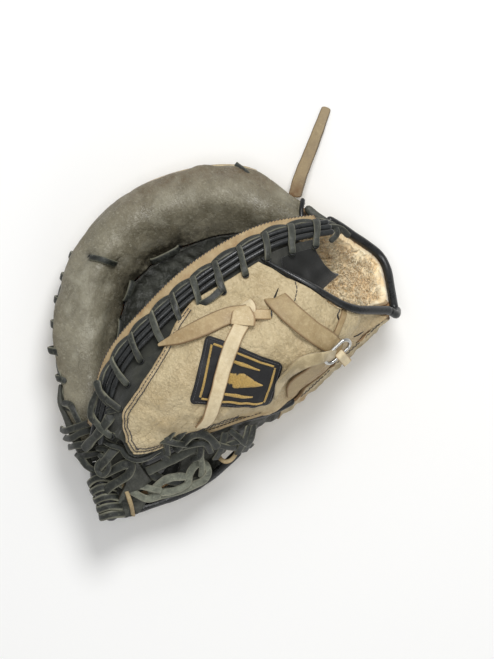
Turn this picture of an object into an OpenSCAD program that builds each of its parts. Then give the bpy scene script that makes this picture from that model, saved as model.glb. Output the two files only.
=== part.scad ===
// A baseball catcher's mitt, worn on the left hand, lying closed on the back of its finger side.
// +Y runs from the wrist to the web, +X from the spine to the finger rim, +Z up.
// The origin is the middle of the flat on which the finger back rests.

/* [Mitt] */
// Length from the wrist edge to the web tip
mitt_length = 344; // [320:1:350]
// Thickness of the shell leather
leather_t = 3; // [2:0.5:3.2]
// Thickness of the felt behind the palm leather
palm_felt_t = 8; // [6:1:9]
// Thickness of the soft lining leather
lining_t = 1.4; // [1:0.2:1.6]

/* [Laces and bindings] */
// Width of a rim lace
lace_w = 6; // [5:0.5:6.5]
// Thickness of a rim lace
lace_t = 2.2; // [1.5:0.1:2.5]
// Radius of one rolled binding
binding_r = 2.6; // [2:0.1:3]
// Radius of the piping round the wrist opening
piping_r = 4; // [3:0.25:4.5]
// Lace turns along the thumb rim
thumb_turns = 12; // [8:1:14]
// Lace turns along the finger rim
finger_turns = 9; // [6:1:12]

/* [Wrist strap] */
// Width of the wrist strap
strap_w = 20; // [16:1:22]
// Thickness of the strap leather
strap_t = 2.4; // [2:0.1:2.6]
// Inside length of the strap ring
ring_inside_l = 24; // [23:0.5:26]
// Inside width of the strap ring
ring_inside_w = 9; // [8:0.5:10]
// Wire diameter of the strap ring
ring_wire = 3; // [2.5:0.1:3.2]

/* [Hidden] */
k = mitt_length / 344;
gap = 0.3;
layer_gap = 1;
fleece_t = 8;
tie_r = 1.2;
tie_w = 5;
panel_t = 1.6;
// Room left at the folds between the two sides, and round the web.
fold_gap = 11;
web_gap = 7;
side_steps = 8;
long_steps = 10;

// Depths of the layers behind the palm leather and the back leather.
palm_felt_low = leather_t + layer_gap + palm_felt_t;
palm_lining_low = palm_felt_low + layer_gap + lining_t;
back_lining_top = leather_t + layer_gap;
back_lining_low = back_lining_top + lining_t;

// The strap ring: its place, its slope on the back of the hand and its bend radius.
ring_bend_r = (ring_inside_w + ring_wire) / 2;
ring_place = k * [-102, -79, 111];
ring_turn = [0, -48, 6];
ring_along = [cos(48) * cos(6), cos(48) * sin(6), sin(48)];

// The route of the heel lace's free end, and the line of the web's bar.
heel_tail_route = [[30, -134, 30], [42, -150, 20], [58, -176, 8], [76, -204, 3]];
web_top = k * [[-52, 152, 62], [-69, 155, 64], [-87, 158, 64], [-103, 162, 60]];

// Long lines of the mitt, each from the wrist end to the web end.
finger_rim = k * [[18, -133, 46], [76, -104, 42], [109, -37, 37], [105, 37, 37], [57, 103, 41], [-36, 150, 50]];
crescent_side = k * [[22, -136, 53], [80, -109, 54], [116, -38, 52], [113, 38, 52], [62, 109, 54], [-36, 155, 58]];
crescent_top = k * [[10, -125, 61], [56, -88, 70], [88, -34, 68], [86, 30, 68], [44, 84, 65], [-38, 134, 62]];
crescent_foot = k * [[-8, -119, 57], [32, -72, 49], [50, -30, 43], [52, 26, 41], [15, 74, 44], [-44, 114, 50]];
pocket_floor = k * [[-28, -122, 57], [2, -64, 42], [6, -22, 35], [4, 24, 35], [-22, 62, 39], [-60, 102, 48]];
palm_fold = k * [[-44, -124, 66], [-50, -64, 68], [-56, -18, 66], [-66, 24, 66], [-84, 72, 64], [-94, 116, 64]];
thumb_palm_mid = k * [[-34, -130, 80], [-22, -76, 102], [-20, -24, 109], [-24, 24, 110], [-40, 74, 102], [-68, 116, 86]];
thumb_rim = k * [[-15, -146, 81], [8, -95, 104], [15, -35, 118], [13, 22, 121], [0, 83, 112], [-38, 134, 92]];
thumb_back_rim = k * [[12, -66, 112], [15, -30, 118], [13, 22, 121], [0, 83, 112], [-36, 126, 96]];
thumb_top = k * [[-42, -90, 119], [-36, -46, 137], [-34, 6, 142], [-38, 62, 134], [-50, 118, 110]];
thumb_outer = k * [[-80, -107, 105], [-88, -62, 121], [-86, -4, 126], [-78, 52, 122], [-68, 119, 103]];
thumb_spine = k * [[-103, -133, 70], [-108, -76, 80], [-112, -16, 84], [-92, 42, 90], [-79, 110, 93]];
finger_spine = k * [[-103, -140, 48], [-109, -86, 52], [-116, -30, 46], [-114, 22, 36], [-112, 86, 34], [-104, 152, 44]];
back_inner = k * [[-64, -159, 22], [-54, -90, 2], [-56, -26, 0], [-60, 26, 0], [-66, 76, 4], [-88, 138, 20]];
back_middle = k * [[-26, -150, 34], [26, -92, 4], [44, -30, 0], [44, 30, 0], [14, 80, 3], [-52, 130, 18]];
back_outer = k * [[2, -139, 44], [68, -98, 19], [95, -35, 10], [92, 35, 10], [48, 94, 14], [-38, 142, 27]];

// Lines are counted from 0 across each net.
palm_net = [finger_rim, crescent_side, crescent_top, crescent_foot, pocket_floor, palm_fold, thumb_palm_mid, thumb_rim];
finger_back_net = [finger_spine, back_inner, back_middle, back_outer, finger_rim];
thumb_back_net = [thumb_back_rim, thumb_top, thumb_outer, thumb_spine];

// A smooth curve through the points of a line, at t from 0 to 1.
function spline(line, t) =
    let (n = len(line) - 1, s = min(max(t, 0), 1) * n, i = min(floor(s), n - 1), f = s - i,
        b = line[i], c = line[i + 1],
        a = i > 0 ? line[i - 1] : 2 * b - c,
        d = i < n - 1 ? line[i + 2] : 2 * c - b)
    0.5 * (2 * b + (c - a) * f + (2 * a - 5 * b + 4 * c - d) * f * f + (3 * b - a - 3 * c + d) * f * f * f);

// A point of the smooth surface through a net, u lines across and v of the way along.
// Nothing reaches below the table.
function net_point(net, u, v) =
    let (p = spline([for (line = net) spline(line, v)], u / (len(net) - 1)))
    [p.x, p.y, max(p.z, 0)];
function net_normal(net, u, v) =
    let (e = 0.03, last = len(net) - 1,
        across = net_point(net, min(u + 3 * e, last), v) - net_point(net, max(u - 3 * e, 0), v),
        along = net_point(net, u, min(v + e, 1)) - net_point(net, u, max(v - e, 0)),
        n = cross(across, along))
    n / norm(n);
// The same point moved h into the mitt.
function net_offset(net, u, v, h) = net_point(net, u, v) + h * net_normal(net, u, v);
function mix(a, b, t) = a + (b - a) * t;

// A closed solid between two grids of points with the same rows and columns.
module solid_between(near, far) {
    rows = len(near);
    cols = len(near[0]);
    size = rows * cols;
    function at(s, i, j) = s * size + i * cols + j;
    skin = [for (s = [0, 1], i = [0:rows - 2], j = [0:cols - 2])
        let (a = at(s, i, j), b = at(s, i + 1, j), c = at(s, i + 1, j + 1), d = at(s, i, j + 1))
        each (s == 0 ? [[a, b, c], [a, c, d]] : [[a, c, b], [a, d, c]])];
    ends = [for (i = [0, rows - 1], j = [0:cols - 2])
        let (a = at(0, i, j), b = at(0, i, j + 1), c = at(1, i, j + 1), d = at(1, i, j))
        each (i == 0 ? [[a, b, c], [a, c, d]] : [[a, c, b], [a, d, c]])];
    sides = [for (j = [0, cols - 1], i = [0:rows - 2])
        let (a = at(0, i, j), b = at(0, i + 1, j), c = at(1, i + 1, j), d = at(1, i, j))
        each (j == 0 ? [[a, c, b], [a, d, c]] : [[a, b, c], [a, c, d]])];
    polyhedron([each (each near), each (each far)], concat(skin, ends, sides), convexity = 8);
}

// A piece of sheet on a net, from depth h0 to depth h1. u_from and u_to are lists along v.
module sheet(net, u_from, u_to, v_from, v_to, h0, h1, steps = side_steps, rows = long_steps) {
    function grid(h) = [for (i = [0:rows])
        let (s = i / rows, v = mix(v_from, v_to, s), u0 = spline(u_from, s), u1 = spline(u_to, s))
        [for (j = [0:steps]) net_offset(net, mix(u0, u1, j / steps), v, h)]];
    solid_between(grid(h1), grid(h0));
}

// A tube or strap along a line. Its section is an ellipse of half width a and half height b,
// with its height along up, which is one direction or one for each point of the line.
module tube(line, a, b, up = [0, 0, 1], rings = 16, sides = 8) {
    points = [for (i = [0:rings]) spline(line, i / rings)];
    function ring(i) =
        let (d = points[min(i + 1, rings)] - points[max(i - 1, 0)], t = d / norm(d),
            s = cross(t, is_num(up[0]) ? up : spline(up, i / rings)), side = s / norm(s), top = cross(side, t))
        [for (j = [0:sides - 1])
            let (q = 360 * (j + 0.5) / sides)
            points[i] + a * cos(q) * side + b * sin(q) * top];
    faces = [for (i = [0:rings - 1], j = [0:sides - 1])
        let (n = (j + 1) % sides, p = i * sides + j, q = i * sides + n, r = p + sides, s = q + sides)
        each [[p, q, s], [p, s, r]]];
    last = rings * sides;
    caps = [for (j = [1:sides - 2]) each [[0, j + 1, j], [last, last + j, last + j + 1]]];
    polyhedron([for (i = [0:rings]) each ring(i)], concat(faces, caps), convexity = 8);
}

// A flat strap along a line, lying across the direction up.
module strap(line, width, up = [0, 0, 1], rings = 10) {
    flat = 1.414;
    tube(line, width / 2 * flat, strap_t / 2 * flat, up = up, rings = rings, sides = 4);
}

// Puts its children, made about the Z axis, at a point with Z along a direction.
module facing(point, direction) {
    d = direction / norm(direction);
    translate(point) rotate([0, acos(d.z), atan2(d.y, d.x)]) children();
}

// Turns of lace round a rim: bands about the line, from t_from to t_to of its length.
module lace_turns(line, inner_r, count, t_from, t_to) {
    for (i = [0:count - 1]) {
        t = mix(t_from, t_to, i / (count - 1));
        facing(spline(line, t), spline(line, t + 0.01) - spline(line, t - 0.01))
            rotate_extrude($fn = 24) translate([inner_r, -lace_w / 2]) square([lace_t, lace_w]);
    }
}

// ---- finger side ----

module finger_back() {
    color("tan") sheet(finger_back_net, [0, 0], [3.82, 3.82], 0, 1, 0, leather_t, 16, 16);
}

module finger_lining() {
    color("peru") sheet(finger_back_net, [0.2, 0.2], [2.8, 2.8], 0.06, 0.94,
        back_lining_top, back_lining_low, 16, 20);
}

// Three walls that part the four finger stalls.
module stall_dividers() {
    function low(n, v) = net_offset(finger_back_net, 1.28 + 0.365 * n, v, back_lining_low + layer_gap);
    function high(n, v) = net_offset(palm_net, 4.52 - 0.7 * n, v, palm_lining_low + layer_gap);
    function wall(n, side) = [for (i = [0:6])
        let (v = mix(0.42, 0.82 - 0.03 * n, i / 6), w = side * [0.7, 0.3, 0])
        [mix(low(n, v), high(n, v), 0.05) + w, mix(low(n, v), high(n, v), 0.95) + w]];
    color("peru") for (n = [0:2]) solid_between(wall(n, -1), wall(n, 1));
}

// The thick felt roll between the crescent's cover and the finger back.
module crescent_felt() {
    rows = 16;
    cols = 8;
    function v_at(i) = mix(0.04, 0.95, i / rows);
    function depth(i, j) = leather_t + 1.5 + (j == 0 ? 3 + 5 * sin(180 * i / rows) : 0);
    top = [for (i = [0:rows]) [for (j = [0:cols])
        net_offset(palm_net, mix(0.95, 2.75, j / cols), v_at(i), depth(i, j))]];
    low = [for (i = [0:rows]) [for (j = [0:cols])
        net_offset(finger_back_net, mix(3.55, 2.95, j / cols), v_at(i), depth(i, j))]];
    color("wheat") solid_between(low, top);
}

module crescent_cover() {
    color([0.42, 0.4, 0.34]) sheet(palm_net, [0.24, 0.24], [2.96, 2.96], 0, 1, 0, leather_t, 12, 16);
}

module pocket_leather() {
    color([0.17, 0.18, 0.17])
        sheet(palm_net, [3.02, 3.02], [4.6, 4.78, 4.8, 4.8, 4.8], 0.02, 0.97, 0, leather_t, 8, 14);
}

module palm_felt() {
    color("wheat") sheet(palm_net, [3.1, 3.1], [4.5, 4.7, 4.7, 4.7, 4.7], 0.05, 0.93,
        leather_t + layer_gap, palm_felt_low, 8, 14);
}

module palm_lining() {
    color("peru") sheet(palm_net, [3.2, 3.2], [4.4, 4.6, 4.6, 4.6, 4.6], 0.07, 0.91,
        palm_felt_low + layer_gap, palm_lining_low, 8, 14);
}

module finger_binding() {
    color([0.1, 0.1, 0.1]) tube(finger_rim, binding_r, binding_r, rings = 30);
}

module finger_rim_lace() {
    color([0.25, 0.26, 0.23]) lace_turns(finger_rim, binding_r + 0.4, finger_turns, 0.5, 0.93);
}

// Short lace stitches that pull the crescent down to the pocket.
module crescent_ties() {
    ties = [[[1.6, 0.635], [2.36, 0.605]], [[2.96, 0.43], [2.92, 0.52]], [[2.93, 0.605], [2.98, 0.665]],
        [[2.99, 0.72], [3.02, 0.79]]];
    lift = tie_r + 0.6;
    color([0.2, 0.2, 0.19]) for (t = ties) {
        places = [for (s = [0:0.25:1]) mix(t[0], t[1], s)];
        tube([for (p = places) net_offset(palm_net, p[0], p[1], -lift)], tie_w / 2, tie_r,
            up = [for (p = places) net_normal(palm_net, p[0], p[1])], rings = 8);
    }
}

// The pad at the heel of the hand, between the crescent's wrist end and the wrist opening.
module heel_pad() {
    color([0.14, 0.14, 0.14]) tube(k * [[12, -136, 56], [2, -138, 58], [-10, -142, 60], [-22, -146, 62]], 4.5, 4, rings = 10);
}

module wrist_fleece() {
    color("moccasin") sheet(finger_back_net, [0.35, 0.7], [2.2, 2.1], 0.05, 0.26,
        back_lining_low + layer_gap, back_lining_low + fleece_t, 12, 10);
}

module wrist_piping_lower() {
    color([0.08, 0.08, 0.08]) tube([for (u = [0:0.38:2.66]) net_offset(finger_back_net, u, 0, leather_t / 2)
        + [0, -piping_r - 1.6, 0]], piping_r, piping_r, rings = 20);
}

// A leather loop inside the stall of the little finger.
module little_finger_loop() {
    color("tan") facing(k * [20, -34, 13], [0.15, 1, 0])
        rotate_extrude($fn = 24) translate([5.6, -5]) square([1.3, 10]);
}

// The panel that closes the back of the hand, from the wrist to the strap.
module back_hand_panel() {
    edge_out = [for (t = [0:0.25:1]) spline(finger_spine, mix(0.02, 0.52, t)) + [-1, 0, 3]];
    edge_up = [for (t = [0:0.25:1]) spline(thumb_spine, mix(0.02, 0.48, t)) + [-1, 0, -fold_gap]];
    color("tan") sheet([edge_out, edge_up], [0, 0], [1, 1], 0, 1, 0, leather_t, 3, 8);
}

// The dark laced panel of the back between the strap and the web.
module spine_panel() {
    edge_out = [for (t = [0:0.25:1]) spline(finger_spine, mix(0.54, 0.72, t)) + [-1, 0, 3]];
    edge_up = [for (t = [0:0.25:1]) spline(thumb_spine, mix(0.5, 0.66, t)) + [-4, 0, -fold_gap - 2]];
    color([0.16, 0.17, 0.16]) sheet([edge_out, edge_up], [0, 0], [1, 1], 0, 1, 0, leather_t, 3, 5);
}

// The plaited lace along the open side of the web.
module plaited_lace() {
    color([0.34, 0.36, 0.33]) tube(k * [[-92, 140, 52], [-108, 118, 52], [-122, 86, 48], [-127, 54, 48]], 5, 3.5, rings = 12);
}

// The cut end of the tie that holds the plaited lace.
module tie_end() {
    color([0.25, 0.26, 0.24]) strap(k * [[-110, 56, 58], [-104, 84, 60], [-98, 110, 60]], 7);
}

// The long free end of the heel lace, a flat thong that lies out past the heel.
module heel_tail() {
    color("tan") strap(heel_tail_route, 12, rings = 14);
}

// ---- thumb side ----

module thumb_back_base() {
    color([0.16, 0.17, 0.16]) sheet(thumb_back_net, [0.32, 0.28], [2.9, 2.9], 0, 1, panel_t + 2 * gap, leather_t, 12, 12);
}

module thumb_back_panel() {
    color("tan") sheet(thumb_back_net, [0.24, 0.24, 0.24, 0.24, 0.3, 0.46, 0.66, 0.72, 0.95],
        [3, 3, 3, 3, 3, 2.95, 2.65, 2.62, 2.3], 0, 0.97, 0, panel_t, 12, 16);
}

module thumb_palm() {
    color([0.17, 0.18, 0.17])
        sheet(palm_net, [5.3, 5.2, 5.2, 5.2, 5.2], [6.66, 6.66], 0.1, 0.97, 0, leather_t, 8, 12);
}

module thumb_felt() {
    color("wheat") sheet(palm_net, [5.5, 5.35, 5.35, 5.4, 5.6], [6.15, 6.2, 6.1], 0.23, 0.8,
        leather_t + layer_gap, palm_felt_low, 6, 9);
}

module thumb_lining() {
    color("peru") sheet(thumb_back_net, [0.64, 0.64], [2.4, 2.4], 0.08, 0.86, back_lining_top, back_lining_low, 10, 10);
}

// The tan lip of the palm leather that stands out past the thumb bindings.
module thumb_flange() {
    color("tan") strap([for (t = [0.1:0.1:1]) spline(thumb_rim, t) + k * [10.4, 1, -10.4]], 9, rings = 24);
}

module thumb_bindings() {
    step = 2 * binding_r + gap;
    color([0.07, 0.07, 0.07]) for (n = [-1, 0, 1])
        tube([for (t = [0.06:0.117:1]) spline(thumb_rim, t) + n * step * [-0.9, 0, 0.42]],
            binding_r, binding_r, rings = 22);
}

module thumb_rim_lace() {
    color([0.3, 0.31, 0.28]) lace_turns(thumb_rim, 3 * binding_r + 0.7, thumb_turns, 0.1, 0.95);
}

// The rolled seam where the thumb's back meets the web side of its stall.
module thumb_seam_roll() {
    color([0.12, 0.13, 0.13]) tube([for (v = [0.5:0.1:1]) net_point(thumb_back_net, 3, v) + [-1, 0, -4.6]],
        3.2, 3.2, rings = 14);
}

// The dark leather of the heel that hangs from the thumb rim inside the wrist opening.
module heel_flap() {
    color([0.15, 0.15, 0.15]) sheet(palm_net, [5.5, 5.45], [6.4, 6.4], 0.06, 0.18,
        leather_t + layer_gap, leather_t + 2.4, 4, 6);
}

module wrist_piping_upper() {
    color([0.08, 0.08, 0.08]) tube([for (u = [0.42:0.32:3]) net_offset(thumb_back_net, u, 0, leather_t / 2)
        + [1, -piping_r - 1, 0]], piping_r, piping_r, rings = 20);
}

// A leather loop inside the thumb stall.
module thumb_loop() {
    color("tan") facing(k * [-56, 14, 118], [0.1, 1, 0])
        rotate_extrude($fn = 24) translate([7, -6]) square([1.5, 12]);
}

// The sewn patch on the back of the thumb, between two slanted edges.
module thumb_patch() {
    near = [[0.78, 0.47], [1.85, 0.36]];
    far = [[1.5, 0.72], [2.6, 0.53]];
    function grid(h) = [for (i = [0:8]) [for (j = [0:8])
        let (p = mix(mix(near[0], near[1], j / 8), mix(far[0], far[1], j / 8), i / 8))
        net_offset(thumb_back_net, p[0], p[1], h)]];
    color([0.06, 0.06, 0.06]) solid_between(grid(-0.4), grid(-1.8));
}

// A strap that lies on the back of the thumb, through places given as lines across and share along.
module back_strap(places, width, lift, rings = 10) {
    strap([for (p = places) net_offset(thumb_back_net, p[0], p[1], -lift)], width,
        up = [for (p = places) -net_normal(thumb_back_net, p[0], p[1])], rings = rings);
}

module wrist_strap() {
    color("tan") back_strap([[0.9, 0.14], [1.3, 0.15], [1.7, 0.165], [2.08, 0.185]], strap_w, strap_t / 2 + 1.8, 12);
}

module strap_keeper() {
    color("tan") back_strap([[1.95, 0.02], [2.05, 0.06], [2.1, 0.1]], 6, strap_t / 2 + 0.7, 6);
}

module strap_tail() {
    color("tan") back_strap([[2.08, 0.27], [2.02, 0.33], [2.12, 0.41], [2.42, 0.48]], strap_w - 6, strap_t / 2 + 2.4, 8);
}

// The leather loop that holds the ring, and the strip that ties it to the back.
module ring_tab() {
    tab_w = 9;
    inner_r = ring_wire / 2 + 0.5;
    color("tan") {
        translate(ring_place) rotate(ring_turn) translate([-ring_bend_r, 0, 0])
            rotate([90, 0, 0]) translate([0, 0, -tab_w / 2])
                rotate_extrude($fn = 24) translate([inner_r, 0]) square([1.5, tab_w]);
        strap([for (x = [-4.2, -8, -12]) ring_place + ring_along * (x - ring_bend_r)], tab_w, rings = 4);
    }
}

module stall_knot() {
    color("tan") back_strap([[0.72, 0.29], [0.86, 0.3], [1, 0.315]], 15, strap_t * 1.5 + 1, 8);
}

module knot_tail_long() {
    color("tan") back_strap([[1.02, 0.37], [1.45, 0.54], [1.95, 0.67], [2.28, 0.74]], 14, strap_t * 2 + 1);
}

module knot_tail_short() {
    color("tan") back_strap([[0.68, 0.37], [0.64, 0.45], [0.54, 0.54], [0.44, 0.6]], 13, strap_t / 2 + 1);
}

// ---- ring ----

// The steel ring of the wrist strap, a rounded loop of wire.
module strap_ring() {
    half = (ring_inside_l - ring_inside_w) / 2;
    color("silver") translate(ring_place) rotate(ring_turn) {
        for (s = [-1, 1]) {
            translate([0, s * half, 0]) rotate([0, 0, s > 0 ? 0 : 180])
                rotate_extrude(angle = 180, $fn = 48) translate([ring_bend_r, 0]) circle(d = ring_wire, $fn = 32);
            translate([s * ring_bend_r, -half, 0]) rotate([-90, 0, 0])
                cylinder(h = 2 * half, d = ring_wire, $fn = 32);
        }
    }
}

// ---- web ----

module web_panel() {
    inner = [for (t = [0:0.2:1]) net_offset(palm_net, mix(2.2, 5.9, t), 1, 1) + web_gap * [-0.5, 0.87, 0]];
    color([0.15, 0.16, 0.15]) sheet([inner, web_top], [0.02, 0.02], [0.98, 0.98], 0, 1, 0, leather_t, 5, 12);
}

module web_bar() {
    color([0.12, 0.12, 0.12]) tube(web_top, 11, 8, rings = 12);
}

module web_bar_lace() {
    color([0.3, 0.31, 0.28]) lace_turns(web_top, 11.3, 5, 0.14, 0.9);
}

// The knots at the free ends of the web laces.
module web_knots() {
    color([0.25, 0.26, 0.24]) for (p = [[-58, 136, 84], [-74, 140, 83], [-86, 146, 82]])
        facing(k * p, [1, 0.6, 0.2]) rotate_extrude($fn = 24) translate([4.2, 0]) circle(d = 5, $fn = 16);
}

finger_back();
finger_lining();
stall_dividers();
crescent_felt();
crescent_cover();
pocket_leather();
palm_felt();
palm_lining();
finger_binding();
finger_rim_lace();
crescent_ties();
heel_pad();
wrist_fleece();
wrist_piping_lower();
little_finger_loop();
back_hand_panel();
spine_panel();
plaited_lace();
tie_end();
heel_tail();
thumb_back_base();
thumb_back_panel();
thumb_palm();
thumb_felt();
thumb_lining();
thumb_flange();
thumb_bindings();
thumb_rim_lace();
thumb_seam_roll();
heel_flap();
wrist_piping_upper();
thumb_loop();
thumb_patch();
wrist_strap();
strap_keeper();
strap_tail();
ring_tab();
stall_knot();
knot_tail_long();
knot_tail_short();
strap_ring();
web_panel();
web_bar();
web_bar_lace();
web_knots();
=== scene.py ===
"""A baseball catcher's mitt: its leather, felt, fleece, laces and stitching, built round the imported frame.

+Y runs from the wrist to the web, +X from the spine to the finger rim, and +Z up. The nets, routes and
sizes are in millimetres, and a mesh is made in metres.
"""
import math

import bpy
import numpy as np
from mathutils import Matrix, Vector


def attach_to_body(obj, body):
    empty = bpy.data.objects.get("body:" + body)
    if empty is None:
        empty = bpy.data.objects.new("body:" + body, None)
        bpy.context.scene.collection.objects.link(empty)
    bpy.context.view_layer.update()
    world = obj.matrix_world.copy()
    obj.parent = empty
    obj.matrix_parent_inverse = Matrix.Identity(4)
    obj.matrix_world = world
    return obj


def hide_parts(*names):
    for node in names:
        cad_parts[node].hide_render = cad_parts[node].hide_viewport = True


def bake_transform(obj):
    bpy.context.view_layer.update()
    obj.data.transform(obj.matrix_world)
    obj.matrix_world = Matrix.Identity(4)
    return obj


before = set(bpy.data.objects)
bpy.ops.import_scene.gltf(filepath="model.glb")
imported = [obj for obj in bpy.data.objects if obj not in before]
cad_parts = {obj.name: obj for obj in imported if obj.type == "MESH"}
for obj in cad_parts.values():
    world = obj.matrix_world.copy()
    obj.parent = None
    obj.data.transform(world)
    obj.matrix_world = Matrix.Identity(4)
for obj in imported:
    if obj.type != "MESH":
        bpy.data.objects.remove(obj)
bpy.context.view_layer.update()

MM = 0.001


# ---------------------------------------------------------------- camera, light, floor

# The camera looks straight down over this point, from this height, with the web at the lower left.
CAMERA_OVER = Vector((-40, -28, 2500)) * MM
CAMERA_RIGHT = Vector((-0.6, -0.8, 0))
CAMERA_UP = Vector((0.8, -0.6, 0))


def add_camera():
    data = bpy.data.cameras.new("camera")
    data.lens = 151.4
    data.sensor_width = 36
    data.clip_start, data.clip_end = 0.05, 20
    camera = bpy.data.objects.new("camera", data)
    bpy.context.scene.collection.objects.link(camera)
    turn = Matrix((CAMERA_RIGHT, CAMERA_UP, CAMERA_RIGHT.cross(CAMERA_UP))).transposed()
    camera.matrix_world = Matrix.Translation(CAMERA_OVER) @ turn.to_4x4()
    bpy.context.scene.camera = camera


def add_light(name, place, aim, size, power, colour=(1, 1, 1)):
    data = bpy.data.lights.new(name, "AREA")
    data.shape, data.size, data.energy, data.color = "DISK", size, power, colour
    light = bpy.data.objects.new(name, data)
    bpy.context.scene.collection.objects.link(light)
    light.location = place
    light.rotation_euler = (Vector(aim) - Vector(place)).to_track_quat("-Z", "Y").to_euler()


def add_studio():
    scene = bpy.context.scene
    world = bpy.data.worlds.new("studio")
    scene.world = world
    world.use_nodes = True
    world.node_tree.nodes["Background"].inputs["Color"].default_value = (1, 1, 1, 1)
    world.node_tree.nodes["Background"].inputs["Strength"].default_value = 0.42
    scene.view_settings.view_transform = "Standard"
    add_light("key", (0.55, -0.75, 1.5), (0, 0, 0.05), 0.7, 18)
    add_light("top", (-0.1, 0.1, 1.7), (0, 0, 0.05), 0.5, 4.5)
    add_light("fill", (-1.3, 0.6, 0.8), (0, 0, 0.06), 0.9, 3)
    plane = bpy.data.meshes.new("floor")
    half = 3
    plane.from_pydata([(-half, -half, 0), (half, -half, 0), (half, half, 0), (-half, half, 0)], [], [(0, 1, 2, 3)])
    floor = bpy.data.objects.new("floor", plane)
    scene.collection.objects.link(floor)
    floor.location.z = -0.0004
    floor.data.materials.append(plain("floor_paint", (0.94, 0.94, 0.93, 1), 0.8))


# ---------------------------------------------------------------- materials


def srgb(red, green, blue):
    """A colour given in 0 to 255, as Blender's linear one."""
    shares = [c / 255 for c in (red, green, blue)]
    return tuple(c / 12.92 if c <= 0.04045 else ((c + 0.055) / 1.055) ** 2.4 for c in shares) + (1,)


def times(colour, share):
    """The colour, darker or lighter."""
    return tuple(min(1, c * share) for c in colour[:3]) + (1,)


def plain(name, colour, roughness):
    material = bpy.data.materials.new(name)
    material.use_nodes = True
    shader = material.node_tree.nodes["Principled BSDF"]
    shader.inputs["Base Color"].default_value = colour
    shader.inputs["Roughness"].default_value = roughness
    return material


class Graph:
    """A material's nodes. An input is given as a socket, a number or a colour."""

    def __init__(self, name):
        self.material = bpy.data.materials.new(name)
        self.material.use_nodes = True
        self.tree = self.material.node_tree
        self.shader = self.tree.nodes["Principled BSDF"]
        self.place = self.node("ShaderNodeTexCoord").outputs["Object"]

    def node(self, kind, inputs=(), **settings):
        made = self.tree.nodes.new(kind)
        for name, value in settings.items():
            setattr(made, name, value)
        for key, value in dict(inputs).items():
            self.feed(made.inputs[key], value)
        return made

    def feed(self, socket, value):
        if isinstance(value, bpy.types.NodeSocket):
            self.tree.links.new(value, socket)
        else:
            socket.default_value = value

    def noise(self, size, detail=4.0, roughness=0.55, distortion=0.0, place=None):
        """Noise with features of that size in millimetres, from about 0.3 to 0.7."""
        inputs = {"Vector": place or self.place, "Scale": 1000 / size, "Detail": detail,
                  "Roughness": roughness, "Distortion": distortion}
        return self.node("ShaderNodeTexNoise", inputs).outputs["Fac"]

    def pores(self, size):
        """How far a place is from the middle of its cell, with cells of that size in millimetres."""
        inputs = {"Vector": self.place, "Scale": 1000 / size}
        return self.node("ShaderNodeTexVoronoi", inputs, feature="SMOOTH_F1").outputs["Distance"]

    def math(self, how, *values, clamp=False):
        return self.node("ShaderNodeMath", enumerate(values), operation=how, use_clamp=clamp).outputs[0]

    def range(self, value, low, high, to_low=0.0, to_high=1.0):
        inputs = {"Value": value, "From Min": low, "From Max": high, "To Min": to_low, "To Max": to_high}
        return self.node("ShaderNodeMapRange", inputs, interpolation_type="SMOOTHSTEP").outputs[0]

    def mix(self, share, first, second):
        made = self.node("ShaderNodeMix", data_type="RGBA")
        self.feed(made.inputs[0], share)
        self.feed(made.inputs[6], first)
        self.feed(made.inputs[7], second)
        return made.outputs[2]

    def mark(self, name):
        """A mark that the mesh carries, 0 where it has none."""
        return self.node("ShaderNodeAttribute", attribute_name=name).outputs["Fac"]

    def stretched(self, x, y, z):
        """The place with its lengths multiplied, for grain that runs one way."""
        return self.node("ShaderNodeMapping", {"Vector": self.place, "Scale": (x, y, z)}).outputs[0]

    def finish(self, colour, roughness, heights, strength, distance=0.0004, **values):
        """Sets the shader. heights are (height, weight) pairs that add up to the bump."""
        total = 0.0
        for height, weight in heights:
            total = self.math("ADD", total, self.math("MULTIPLY", height, weight))
        bump = self.node("ShaderNodeBump", {"Height": total, "Strength": strength, "Distance": distance})
        self.feed(self.shader.inputs["Normal"], bump.outputs[0])
        self.feed(self.shader.inputs["Base Color"], colour)
        self.feed(self.shader.inputs["Roughness"], roughness)
        for name, value in values.items():
            self.shader.inputs[name.replace("_", " ")].default_value = value
        return self.material


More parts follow.
